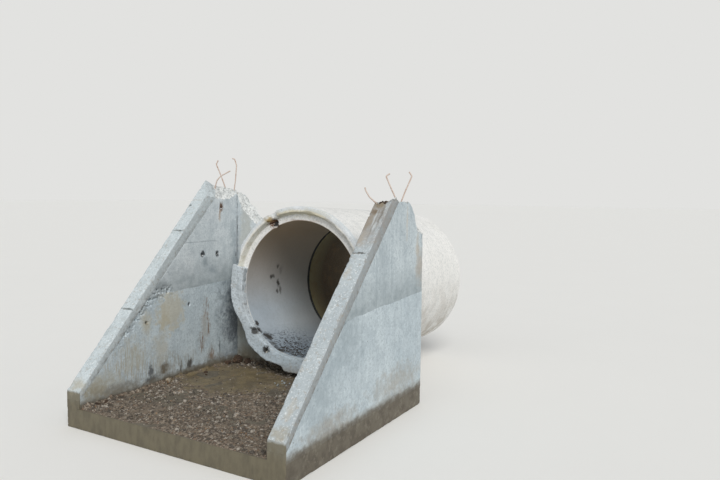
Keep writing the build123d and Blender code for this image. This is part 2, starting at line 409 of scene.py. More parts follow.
@dataclass(frozen=True)
class CastConcrete:
    """Concrete cast in place against smooth forms.

    The forms leave it flat and dull, with soft clouds of lighter and darker cement skin, upright
    runs where water came down the form, and scattered air holes.
    """

    name: str = "cast_concrete"
    base: str = "#bcc8ce"
    pale: str = "#d2dce0"
    dark: str = "#98a4ab"
    runs: float = 0.35
    mottling: float = 0.6
    splash_top: float = SLAB_TOP + 0.075
    splash_fade: float = 0.06
    mud_reach: float = 0.050
    mud_full: float = 0.012
    stains: tuple[Mark, ...] = ()
    grain_mm: float = 9.0
    hole_spacing_mm: float = 75.0
    hole_width_mm: float = 14.0

    def marks(self, surface: Surface) -> list[Layer]:
        """Marks that only this piece of concrete carries."""
        return []

    def build(self) -> Material:
        """Builds the material.

        Returns:
            The material.
        """
        surface = Surface(self.name)
        grain = surface.cloud(self.grain_mm, 0.35, 0.68, seed=3.1)
        holes = surface.pores(self.hole_spacing_mm, self.hole_width_mm, seed=0.7)
        runs = surface.cloud(26, 0.5, 0.72, stretch=(1.0, 1.0, 22.0), seed=5.2)
        broad = surface.cloud(320, 0.38, 0.66, seed=1.3)
        wet = surface.band(DOWN, -self.splash_top, -self.splash_top + self.splash_fade, surface.ragged)
        mud_line = surface.band(
            DOWN, -SLAB_TOP - self.mud_reach, -SLAB_TOP - self.mud_full, surface.ragged
        )
        wet_shaded_tip = surface.wet_and_shaded_end(0.33, 0.27)
        tip_runs = surface.cloud(45, 0.42, 0.7, stretch=(1.0, 1.0, 2.5), seed=1.9)
        layers = [
            (broad, self.pale, 0.75),
            (surface.cloud(120, 0.45, 0.75, seed=8.4), self.dark, 0.55),
            (runs, self.dark, self.runs),
            (surface.cloud(40, 0.52, 0.72, seed=4.5), self.pale, 0.6),
            (surface.cloud(24, 0.54, 0.64, seed=14.5), self.pale, 0.8 * self.mottling),
            (surface.cloud(17, 0.5, 0.64, seed=7.5), self.dark, self.mottling),
            (grain, self.dark, 0.35),
            (surface.pores(34, 12, seed=2.2), "#7e878a", 0.8),
            (holes, "#4f5557", 0.85),
            *self.marks(surface),
            *surface.stained(self.stains),
            (wet, "#8d8470", 0.6),
            (surface.overlap(wet, surface.cloud(60, 0.42, 0.56, seed=2.9)), "#574e41", 0.75),
            (mud_line, "#4d463c", 0.7),
            (surface.overlap(mud_line, surface.cloud(130, 0.42, 0.66, seed=22.0)), "#6d675a", 0.7),
            (surface.overlap(mud_line, surface.cloud(40, 0.54, 0.64, seed=24.0)), "#8a8475", 0.35),
            # Dark olive front end of the wing: partly mud, partly painted shade.
            (wet_shaded_tip, "#6d6653", 0.93),
            (surface.overlap(wet_shaded_tip, tip_runs), "#4b463a", 0.6),
        ]
        return surface.close(
            surface.paint(self.base, layers),
            (wet, 0.88, 0.6),
            [(grain, 0.5), (holes, -2.5), (runs, -0.3)],
        )


@dataclass(frozen=True)
class LowerLiftConcrete(CastConcrete):
    """Concrete of the first lift, with fine upright runs of rust and mud down its inner face."""

    trickles: tuple[Mark, ...] = ()

    def marks(self, surface: Surface) -> list[Layer]:
        """The fine runs, each gathered round the place of one trickle.

        Args:
            surface: The surface that carries them.

        Returns:
            Their layers.
        """
        fine = surface.cloud(9, 0.46, 0.56, stretch=(1.0, 1.0, 10.0), seed=31.0)
        return [
            (surface.overlap(patch, fine), colour, strength)
            for patch, colour, strength in surface.stained(self.trickles)
        ]


@dataclass(frozen=True)
class UpperLiftConcrete(CastConcrete):
    """Concrete of the second lift, which dried darker just above the first one.

    Fine paste that ran down inside the form left it smoother and greyer at its foot.
    """

    foot_reach: float = 0.27
    foot_full: float = 0.01
    seam: Mark = Mark((-WALL_FACE, -0.58, 1.334), (0.03, 0.38, 0.007), "#88939a", 0.6)

    def marks(self, surface: Surface) -> list[Layer]:
        """The dark foot of the lift, over the sloping line of the joint.

        Args:
            surface: The surface that carries it.

        Returns:
            Its layers.
        """
        line = LIFT_BACK[1] - LIFT_FALL * LIFT_BACK[0]
        over = surface.band(
            (0.0, -LIFT_FALL, 1.0), line + self.foot_reach, line + self.foot_full, surface.ragged
        )
        return [
            (over, "#8f999d", 0.55),
            (surface.overlap(over, surface.cloud(70, 0.42, 0.62, seed=6.6)), "#848f93", 0.5),
            *surface.stained((self.seam,)),
        ]


@dataclass(frozen=True)
class OuterFaceConcrete(UpperLiftConcrete):
    """The second lift of the right wing, whose outer face shows upright runs of laitance."""

    base: str = "#bcc6ca"
    pale: str = "#d3dcdf"
    runs: float = 0.55


@dataclass(frozen=True)
class TrowelledConcrete:
    """Mortar-rich concrete, trowelled on the slope as a coping.

    The steel trowel brings up pale paste, so the top is the lightest concrete here, lightly dimpled
    and peppered with grit, while its edges against the forms stay grey.
    """

    name: str = "trowelled_coping_concrete"
    top: str = "#c6d0d4"
    pale: str = "#d6dee1"
    edge: str = "#c2c8c9"
    edge_dark: str = "#adb3b3"
    dirt_and_seam_shade: float = 0.35
    seam_shade_reach: float = 0.060
    seam_shade_full: float = 0.008
    stains: tuple[Mark, ...] = ()

    def build(self) -> Material:
        """Builds the material.

        Returns:
            The material.
        """
        surface = Surface(self.name)
        top = surface.facing((0.0, -math.sin(SLOPE), math.cos(SLOPE)), 0.55, 0.8)
        foot = UNDERSIDE_FOOT[1] - UNDERSIDE_RISE * UNDERSIDE_FOOT[0]
        # A ragged dark seam along the foot of the coping's side: partly dirt, partly painted shade under
        # its lip.
        seam = surface.overlap(
            surface.band(
                (0.0, -UNDERSIDE_RISE, 1.0), foot + self.seam_shade_reach, foot + self.seam_shade_full, surface.ragged
            ),
            surface.cloud(30, 0.44, 0.62, seed=21.0),
        )
        grain = surface.cloud(8, 0.35, 0.68, seed=1.9)
        dimples = surface.cloud(42, 0.35, 0.7, seed=7.7)
        grit = surface.pores(24, 9, seed=4.2)
        holes = surface.pores(95, 17, seed=1.1)
        layers = [
            (surface.cloud(90, 0.35, 0.7, stretch=(1.0, 1.0, 2.5), seed=2.4), self.edge_dark, 0.6),
            (top, self.top, 1.0),
            (surface.overlap(top, surface.cloud(160, 0.42, 0.68, seed=3.3)), self.pale, 0.6),
            (surface.overlap(top, surface.cloud(75, 0.5, 0.72, seed=9.1)), "#a9b1b3", 0.6),
            (surface.cloud(18, 0.5, 0.66, seed=6.4), "#a3abad", 0.5),
            (surface.cloud(28, 0.56, 0.66, seed=12.4), "#9a8f80", self.dirt_and_seam_shade),
            (grain, "#9aa3a5", 0.42),
            (surface.overlap(top, surface.cloud(14, 0.56, 0.64, seed=16.6)), "#eef2f3", 0.5),
            (grit, "#7f827f", 0.75),
            (surface.pores(21, 9, seed=14.2), "#675f54", self.dirt_and_seam_shade),
            (holes, "#5c605e", 0.8),
            # Dark seam at the coping's foot: dirt and painted shade.
            (seam, "#6f685d", self.dirt_and_seam_shade),
            # Dark olive front end of the coping: partly mud, partly painted shade.
            (surface.wet_and_shaded_end(0.285, 0.265), "#6d6653", 0.92),
            *surface.stained(self.stains),
        ]
        return surface.close(
            surface.paint(self.edge, layers),
            (dimples, 0.92, 0.8),
            [(grain, 0.5), (dimples, 1.6), (grit, 0.6), (holes, -2.5)],
        )


@dataclass(frozen=True)
class BrokenConcrete:
    """Concrete where it has been broken through.

    The fracture runs round the crushed stones and through the white cement paste, so it is the
    brightest and roughest surface, with stones and their empty sockets.
    """

    name: str = "broken_concrete"

    def build(self) -> Material:
        """Builds the material.

        Returns:
            The material.
        """
        surface = Surface(self.name)
        grain = surface.cloud(7, 0.3, 0.7, seed=2.0)
        lumps = surface.cloud(34, 0.3, 0.7, seed=6.0)
        stones = surface.pores(26, 24, seed=3.0)
        sockets = surface.pores(33, 20, seed=8.0)
        layers = [
            (lumps, "#f2f3f2", 0.7),
            (surface.cloud(90, 0.45, 0.7, seed=1.0), "#b4b8b8", 0.6),
            (surface.cloud(32, 0.50, 0.64, seed=9.0), "#8b8f90", 0.65),
            (surface.cloud(20, 0.58, 0.68, seed=19.0), "#6a6d6f", 0.55),
            (stones, "#a8a298", 0.7),
            (surface.overlap(stones, surface.cloud(60, 0.5, 0.6, seed=5.0)), "#8c8f91", 0.7),
            (sockets, "#959896", 0.7),
            (grain, "#aeb1af", 0.3),
        ]
        return surface.close(
            surface.paint("#d9dcda", layers),
            (grain, 0.95, 0.85),
            [(grain, 1.2), (lumps, 2.5), (stones, 2.5), (sockets, -3.0)],
        )


@dataclass(frozen=True)
class CrushedStone:
    """Crushed granite aggregate, sharp edged and dusted with cement."""

    name: str = "crushed_stone"

    def build(self) -> Material:
        """Builds the material.

        Returns:
            The material.
        """
        surface = Surface(self.name)
        grain = surface.cloud(3, 0.3, 0.7, seed=1.5)
        layers = [
            (surface.cloud(30, 0.4, 0.6, seed=2.5), "#8d9091", 1.0),
            (surface.cloud(24, 0.52, 0.6, seed=3.5), "#c4b9a8", 0.9),
            (surface.facing(UP, 0.2, 0.9), "#d3d5d2", 0.55),
            (grain, "#77797a", 0.3),
        ]
        return surface.close(surface.paint("#aca69b", layers), (grain, 0.85, 0.7), [(grain, 0.4)])


@dataclass(frozen=True)
class SpunConcrete:
    """Precast pipe concrete, spun in a steel mould.

    The mould leaves the outside smooth with faint rings; its near-white colour is partly the pale
    concrete and partly painted sunlight. The inside is trowelled by the spinning, bluish grey, and
    dirty where water, damp and mud have been. Light and shade are painted on it too: a warm painted
    bounce light on the crown of the bore, painted shade that grows with depth and is darkest in the
    second pipe, a painted lit band just past the joint, a painted shadow in the joint's gap, and a
    pale groove in the rim that stands as painted light against its own shade.
    """

    name: str = "spun_pipe_concrete"
    rim_stains: tuple[Mark, ...] = (
        Mark((0.08, 0.0, 0.660), (0.42, 0.06, 0.07), "#d6caa2", 0.6, 0.5),
        Mark((-0.03, 0.03, 0.598), (0.26, 0.05, 0.016), "#8b6442", 0.6),
    )
    stains: tuple[Mark, ...] = (
        Mark((-0.599, 0.414, 0.040), (0.06, 0.034, 0.032), "#3c3a37", 0.9, 0.45),
        Mark((-0.597, 0.452, 0.052), (0.06, 0.038, 0.026), "#3c3a37", 0.75, 0.45),
        Mark((-0.582, 0.499, 0.144), (0.06, 0.024, 0.030), "#44423f", 0.8, 0.45),
        Mark((-0.599, 0.529, -0.026), (0.06, 0.030, 0.052), "#3a3834", 0.95, 0.45),
        Mark((-0.591, 0.506, -0.103), (0.06, 0.028, 0.032), "#44423f", 0.85, 0.45),
        Mark((-0.590, 0.560, -0.090), (0.06, 0.028, 0.050), "#55534f", 0.7, 0.45),
        Mark((-0.580, 0.560, 0.100), (0.06, 0.030, 0.070), "#77756f", 0.5, 0.45),
        Mark((-0.484, 0.076, -0.355), (0.06, 0.030, 0.034), "#302e2b", 0.95, 0.5),
        Mark((-0.440, 0.050, -0.408), (0.07, 0.040, 0.036), "#302e2b", 0.95, 0.5),
        Mark((-0.377, 0.107, -0.467), (0.07, 0.060, 0.050), "#2c2a28", 0.95, 0.5),
        Mark((-0.300, 0.085, -0.520), (0.07, 0.050, 0.030), "#45433f", 0.8),
        Mark((-0.196, 0.069, -0.567), (0.08, 0.045, 0.050), "#33302d", 0.95, 0.4),
        Mark((-0.300, 0.05, 0.572), (0.068, 0.10, 0.062), "#583718", 0.97, 0.6),
        Mark((-0.345, 0.02, 0.600), (0.07, 0.06, 0.045), "#a08c5c", 0.75),
        Mark((-0.235, 0.03, 0.655), (0.06, 0.06, 0.040), "#a3987a", 0.55),
    )

    def build(self) -> Material:
        """Builds the material.

        Returns:
            The material.
        """
        surface = Surface(self.name)
        place = surface.pipe_place()
        ragged = surface.pipe_place(ragged=True)
        inside = surface.radius(0.606, 0.601)
        front = surface.band(REARWARD, 0.055, 0.045, place)
        # Where painted shade grows with depth inside the pipe.
        deep = surface.band(REARWARD, 0.25, 1.15, place)
        # The second pipe, whose bore is painted dark as painted shade deep in the culvert.
        beyond = surface.band(REARWARD, 1.064, 1.068, place)
        lit_edge = surface.overlap(beyond, surface.band(REARWARD, 1.340, 1.085, place))
        # Painted shadow in the open gap between the two pipes.
        gap = surface.overlap(
            surface.band(REARWARD, 1.034, 1.040, place),
            surface.band(REARWARD, 1.0785, 1.0760, place),
            surface.radius(0.675, 0.668),
        )
        # The crown of the bore, which takes a warm painted bounce light.
        crown_painted_bounce = surface.band(DOWN, 0.25, -0.5, place)
        silt = surface.overlap(
            inside,
            surface.band(DOWN, 0.40, 0.55, ragged),
            surface.band(REARWARD, 0.75, 0.42, ragged),
            surface.cloud(19, 0.5, 0.58, stretch=(1.0, 1.6, 1.0), seed=9.5),
        )
        earth = surface.overlap(
            surface.band(DOWN, -0.05, 0.60, ragged), surface.cloud(130, 0.42, 0.62, seed=10.2)
        )
        film = surface.overlap(inside, surface.band(DOWN, 0.40, 0.58, ragged))
        groove = surface.overlap(surface.radius(0.653, 0.657), surface.radius(0.690, 0.676), front)
        lip = surface.overlap(surface.radius(0.690, 0.700), front)
        pits = surface.overlap(front, surface.pores(22, 10, seed=8.8), surface.radius(0.603, 0.606))
        rings = surface.cloud(30, 0.4, 0.7, stretch=(12.0, 0.8, 12.0), seed=4.0)
        grain = surface.cloud(9, 0.35, 0.68, seed=2.6)
        holes = surface.pores(70, 12, seed=5.5)
        layers = [
            # Near-white outside: partly the pale concrete, partly painted sunlight.
            (surface.cloud(300, 0.4, 0.66, seed=0.4), "#faf8f5", 0.7),
            (surface.cloud(90, 0.5, 0.75, seed=7.1), "#cccbc7", 0.5),
            (surface.cloud(20, 0.5, 0.66, seed=11.1), "#b9bcba", 0.5),
            (rings, "#c9cccb", 0.3),
            (earth, "#9a8a74", 0.6),
            (inside, "#b0bbc5", 1.0),
            (surface.overlap(inside, surface.cloud(200, 0.4, 0.7, seed=3.7)), "#a3adb5", 0.6),
            (surface.overlap(inside, surface.cloud(30, 0.5, 0.68, seed=8.3)), "#949da4", 0.35),
            # Warm painted bounce light on the crown of the bore.
            (surface.overlap(inside, crown_painted_bounce), "#ba9869", 0.8),
            # Painted shade that grows with depth inside the pipe.
            (surface.overlap(inside, deep), "#a8a08f", 0.5),
            # Painted shade: the second pipe's bore is painted dark brown for the dark deep in the culvert.
            (surface.overlap(inside, beyond), "#5c4826", 0.97),
            (surface.overlap(inside, lit_edge), "#9a9067", 0.85),
            (surface.overlap(inside, beyond, surface.cloud(90, 0.5, 0.66, seed=41.0)), "#7d6238", 0.5),
            # Painted shadow in the open gap between the two pipes.
            (gap, "#1c1914", 0.96),
            # The groove painted pale: painted light against the shade that its walls cast.
            (groove, "#e4e2d6", 0.85),
            (surface.overlap(groove, surface.cloud(34, 0.5, 0.62, seed=6.1)), "#b3a37c", 0.35),
            *surface.stained(self.rim_stains, place),
            (lip, "#d3dce3", 0.55),
            (pits, "#645e54", 0.8),
            (grain, "#8f9698", 0.28),
            (holes, "#5c6061", 0.7),
            (film, "#6d7e8e", 0.6),
            (silt, "#393a3c", 0.85),
            *surface.stained(self.stains, place),
        ]
        return surface.close(
            # Near-white base: partly the pale concrete, partly painted sunlight.
            surface.paint("#f3f1ed", layers),
            (inside, 0.85, 0.97),
            [(grain, 0.5), (rings, 0.5), (holes, -2.0), (silt, 3.0)],
        )


@dataclass(frozen=True)
class RoughMortar:
    """Cement mortar pressed on by hand: lumpy, pale grey, with earth in its hollows."""

    name: str = "hand_laid_mortar"
    base: str = "#c9d2d9"
    stains: tuple[Mark, ...] = (
        Mark((-0.305, 0.0, -0.573), (0.044, 0.07, 0.046), "#302d29", 0.95, 0.6),
        Mark((-0.448, 0.0, -0.410), (0.044, 0.07, 0.040), "#302d29", 0.9, 0.6),
        Mark((-0.560, 0.0, -0.180), (0.050, 0.07, 0.014), "#6c6a66", 0.7),
    )

    def build(self) -> Material:
        """Builds the material.

        Returns:
            The material.
        """
        surface = Surface(self.name)
        place = surface.pipe_place()
        grain = surface.cloud(6, 0.3, 0.7, seed=0.9)
        lumps = surface.cloud(38, 0.32, 0.68, seed=3.9)
        holes = surface.pores(44, 13, seed=6.9)
        layers = [
            (lumps, "#dfe8ee", 0.6),
            (surface.cloud(110, 0.45, 0.7, seed=5.9), "#a9b0b3", 0.6),
            # Painted sky-lit shade: the mortar turns bluish towards the bottom of the rim.
            (surface.band(DOWN, 0.25, 0.60, place), "#a2b5c3", 0.5),
            (surface.cloud(18, 0.54, 0.64, seed=15.9), "#8a8f92", 0.6),
            (surface.cloud(55, 0.56, 0.66, seed=8.9), "#9c9486", 0.5),
            (grain, "#9ba0a0", 0.3),
            (holes, "#70716d", 0.6),
            (surface.pores(20, 9, seed=12.9), "#565a5c", 0.7),
            *surface.stained(self.stains, place),
            (surface.band(DOWN, 0.66, 0.74, surface.pipe_place(ragged=True)), "#877d6c", 0.6),
        ]
        return surface.close(
            surface.paint(self.base, layers),
            (lumps, 0.95, 0.82),
            [(grain, 0.7), (lumps, 2.0), (holes, -2.5)],
        )


@dataclass(frozen=True)
class RustedSteel:
    """Hot-rolled ribbed bar, rusted dry in the open and dusted with cement.

    Old rust is a dull pinkish brown crust with paler dust on it and orange where it flakes.
    """

    name: str = "rusted_reinforcing_steel"

    def build(self) -> Material:
        """Builds the material.

        Returns:
            The material.
        """
        surface = Surface(self.name)
        grain = surface.cloud(3, 0.3, 0.7, seed=1.2)
        layers = [
            (surface.cloud(45, 0.4, 0.62, seed=2.2), "#dccfc5", 0.9),
            (surface.cloud(22, 0.55, 0.68, seed=3.2), "#a17a62", 0.8),
            (surface.cloud(12, 0.6, 0.7, seed=4.2), "#744c38", 0.7),
            (grain, "#8a6a58", 0.3),
        ]
        return surface.close(surface.paint("#cfbcb0", layers), (grain, 0.95, 0.75), [(grain, 0.4)])


@dataclass(frozen=True)
class DriedMud:
    """Crumbs of dried brown earth."""

    name: str = "dried_mud"

    def build(self) -> Material:
        """Builds the material.

        Returns:
            The material.
        """
        surface = Surface(self.name)
        grain = surface.cloud(4, 0.3, 0.7, seed=1.7)
        layers = [
            (surface.cloud(25, 0.45, 0.65, seed=2.7), "#4a4541", 0.8),
            (surface.cloud(60, 0.5, 0.65, seed=3.7), "#242526", 0.7),
            (grain, "#5b5855", 0.35),
        ]
        return surface.close(surface.paint("#333231", layers), (grain, 0.98, 0.8), [(grain, 0.8)])


@dataclass(frozen=True)
class SettledSilt:
    """Wet silt and sand left on the slab: dark, smooth in its hollows and gritty between."""

    name: str = "settled_silt"
    puddle: Mark = Mark((-0.45, -0.55, SLAB_TOP), (0.62, 0.46, 0.30), "#7f7153", 0.85, 0.75)

    def build(self) -> Material:
        """Builds the material.

        Returns:
            The material.
        """
        surface = Surface(self.name)
        grain = surface.cloud(6, 0.3, 0.7, seed=0.8)
        damp = surface.patch(self.puddle)
        grit = surface.pores(17, 12, seed=4.8)
        layers = [
            (surface.cloud(180, 0.4, 0.6, seed=2.8), "#665a4c", 0.8),
            (surface.cloud(70, 0.45, 0.65, seed=6.8), "#897b6c", 0.6),
            (surface.cloud(22, 0.46, 0.56, seed=8.8), "#362f28", 0.85),
            (surface.cloud(20, 0.54, 0.62, seed=13.8), "#b1a597", 0.75),
            (surface.cloud(34, 0.58, 0.66, seed=23.8), "#86634c", 0.5),
            (grit, "#a19a8e", 0.6),
            (damp, self.puddle.colour, self.puddle.strength),
            (surface.overlap(damp, surface.cloud(90, 0.45, 0.6, seed=15.8)), "#5e5443", 0.7),
            (grain, "#544a3f", 0.4),
        ]
        return surface.close(
            surface.paint("#766a5b", layers), (damp, 0.85, 0.38), [(grain, 0.8), (grit, 2.0)]
        )


@dataclass(frozen=True)
class WetGravel:
    """Small stones and broken bits of concrete, half coated with silt."""

    name: str = "loose_gravel"
    stains: tuple[Mark, ...] = (
        Mark((-0.842, -0.935, 0.180), (0.05, 0.05, 0.05), "#a99d8b", 0.8, 0.8),
        Mark((0.000, -0.470, 0.160), (0.08, 0.09, 0.04), "#a8b0b3", 0.7, 0.8),
    )

    def build(self) -> Material:
        """Builds the material.

        Returns:
            The material.
        """
        surface = Surface(self.name)
        grain = surface.cloud(3, 0.3, 0.7, seed=2.1)
        layers = [
            (surface.cloud(40, 0.5, 0.54, seed=4.1), "#b4aca2", 0.85),
            (surface.cloud(46, 0.48, 0.52, seed=6.1), "#2f2823", 0.9),
            (surface.cloud(31, 0.58, 0.62, seed=8.1), "#8f6f4e", 0.7),
            (grain, "#5f584d", 0.4),
            *surface.stained(self.stains),
        ]
        return surface.close(surface.paint("#6f675b", layers), (grain, 0.85, 0.6), [(grain, 0.4)])


@dataclass(frozen=True)
class ClayClods:
    """Clods of red-brown clay, dry and crumbling outside, darker in their cracks."""

    name: str = "clay_clods"

    def build(self) -> Material:
        """Builds the material.

        Returns:
            The material.
        """
        surface = Surface(self.name)
        grain = surface.cloud(4, 0.3, 0.7, seed=1.4)
        layers = [
            (surface.cloud(30, 0.42, 0.62, seed=2.4), "#52402f", 0.9),
            (surface.cloud(14, 0.48, 0.58, seed=3.4), "#221a15", 0.85),
            (surface.cloud(50, 0.58, 0.68, seed=4.4), "#6f533b", 0.6),
            (grain, "#5f4d3e", 0.35),
        ]
        return surface.close(surface.paint("#3b2d23", layers), (grain, 0.98, 0.85), [(grain, 1.0)])


@dataclass(frozen=True)
class PlainFloor:
    """Matt pale studio floor."""

    name: str = "studio_floor"
    colour: str = "#ecebe8"

    def build(self) -> Material:
        """Builds the material.

        Returns:
            The material.
        """
        surface = Surface(self.name)
        grain = surface.cloud(900, 0.3, 0.7)
        return surface.close(surface.paint(self.colour, [(grain, "#eae9e6", 0.5)]), (grain, 1.0, 0.95), [])


def slope_height(y: float) -> float:
    """Height of the sloping top of a wing at a distance."""
    return TIP_TOP + (y - TIP_Y) * math.tan(SLOPE)


def underside_height(y: float) -> float:
    """Height of the underside of the coping at a distance."""
    return UNDERSIDE_FOOT[1] + UNDERSIDE_RISE * (y - UNDERSIDE_FOOT[0])


def joint_height(y: float) -> float:
    """Height of the joint under the coping and between the lifts at a distance."""
    level = LIFT_BACK[1] - LIFT_FALL * (LIFT_BACK[0] - y)
    return min(level, underside_height(y))


def ease(start: float, stop: float, value: float) -> float:
    """Smooth step from 0 at start to 1 at stop."""
    t = min(1.0, max(0.0, (value - start) / (stop - start)))
    return t * t * (3 - 2 * t)


def roughness_at(point: Vector, size: float, seed: float = 0.0) -> float:
    """Fractal noise of about one size, from about -1 to 1."""
    return noise.fractal(point / size + Vector((seed, -seed, seed)), 1.0, 2.0, 4)


def take_copy(node: str) -> Mesh:
    """Takes a merged copy of a CAD node with its flat faces whole.

    Args:
        node: The node's name.

    Returns:
        The copy.
    """
    bm = bmesh.new()
    bm.from_mesh(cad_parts[node].data)
    bmesh.ops.remove_doubles(bm, verts=bm.verts, dist=MERGE_DISTANCE)
    bmesh.ops.dissolve_limit(
        bm, angle_limit=FLAT_ANGLE, verts=bm.verts, edges=bm.edges, use_dissolve_boundaries=False
    )
    for face in bm.faces:
        face.material_index = Skin.FORMED.value
    return bm


def span_along(face: bmesh.types.BMFace, axis: int) -> tuple[float, float]:
    """Least and greatest place of a face along an axis."""
    places = [v.co[axis] for v in face.verts]
    return min(places), max(places)


def score(bm: Mesh, axis: int, pitch: float, faces: list[bmesh.types.BMFace] | None = None) -> None:
    """Cuts faces by parallel planes, so that their shape can be worn.

    Args:
        bm: The mesh.
        axis: The axis across the planes.
        pitch: The distance between them.
        faces: The faces to cut, all where none are given.
    """
    spans = [(face, *span_along(face, axis)) for face in (bm.faces if faces is None else faces)]
    if not spans:
        return
    first = math.ceil(min(low for _, low, _ in spans) / pitch) - 1
    last = math.floor(max(high for _, _, high in spans) / pitch)
    across = Vector([1.0 if i == axis else 0.0 for i in range(3)])
    for step in range(first, last + 1):
        level = step * pitch + CUT_OFFSET * pitch
        near = [face for face, low, high in spans if low < level < high]
        if not near:
            continue
        spans = [item for item in spans if not item[1] < level < item[2]]
        parts = [part for f in near for part in (*f.edges, *f.verts)]
        cut = bmesh.ops.bisect_plane(
            bm,
            geom=list(dict.fromkeys(parts)) + near,
            dist=CUT_TOLERANCE,
            plane_co=across * level,
            plane_no=across,
        )
        new = [part for part in cut["geom"] if isinstance(part, bmesh.types.BMFace)]
        made = dict.fromkeys([f for f in near if f.is_valid] + new)
        spans += [(face, *span_along(face, axis)) for face in made]


def show(
    bm: Mesh,
    name: str,
    materials: list[Material],
    nodes: tuple[str, ...] = (),
    sharp_degrees: float = 32.0,
) -> bpy.types.Object:
    """Turns a mesh into a piece of the headwall.

    Args:
        bm: The mesh, which is freed.
        name: The piece's name.
        materials: The materials of its slots.
        nodes: The CAD nodes that it stands for.
        sharp_degrees: The angle above which an edge shows as sharp.

    Returns:
        The new object.
    """
    for face in bm.faces:
        face.smooth = True
    for edge in bm.edges:
        edge.smooth = edge.calc_face_angle(math.pi) < math.radians(sharp_degrees)
    mesh = bpy.data.meshes.new(name)
    bm.to_mesh(mesh)
    bm.free()
    for material in materials:
        mesh.materials.append(material)
    piece = bpy.data.objects.new(name, mesh)
    bpy.context.scene.collection.objects.link(piece)
    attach(piece, BODY)
    if nodes:
        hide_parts(*nodes)
    log.info("%s: %d faces", name, len(mesh.polygons))
    return piece


def scatter_stones(
    bm: Mesh,
    spots: list[tuple[Vector, Vector]],
    sizes: tuple[float, float],
    rng: random.Random,
    sunk: float = 0.35,
) -> None:
    """Sets angular lumps half into a surface.

    Args:
        bm: The mesh that takes the lumps.
        spots: A point and the outward direction of each lump.
        sizes: The least and the greatest radius.
        rng: The source of chance.
        sunk: How deep the middle of a lump lies, as a share of its radius.
    """
    batch = bmesh.new()
    jut = (-STONE_ANGULARITY, STONE_ANGULARITY)
    for number, (point, outward) in enumerate(spots, start=1):
        radius = rng.uniform(*sizes)
        yaw, roll = [Matrix.Rotation(rng.uniform(0, math.tau), 4, axis) for axis in "ZX"]
        shape = Matrix.Diagonal((*[rng.uniform(*span) for span in STONE_PROPORTIONS], 1.0))
        seat = Matrix.Translation(point - outward * radius * sunk)
        made = bmesh.ops.create_icosphere(
            batch, subdivisions=1, radius=radius, matrix=seat @ (yaw @ roll) @ shape
        )
        for vert in made["verts"]:
            vert.co += Vector([rng.uniform(*jut) * radius for _ in range(3)])
        if number % STONES_A_BATCH == 0 or number == len(spots):
            lumps = bpy.data.meshes.new("lumps")
            batch.to_mesh(lumps)
            bm.from_mesh(lumps)
            bpy.data.meshes.remove(lumps)
            batch.clear()
    batch.free()


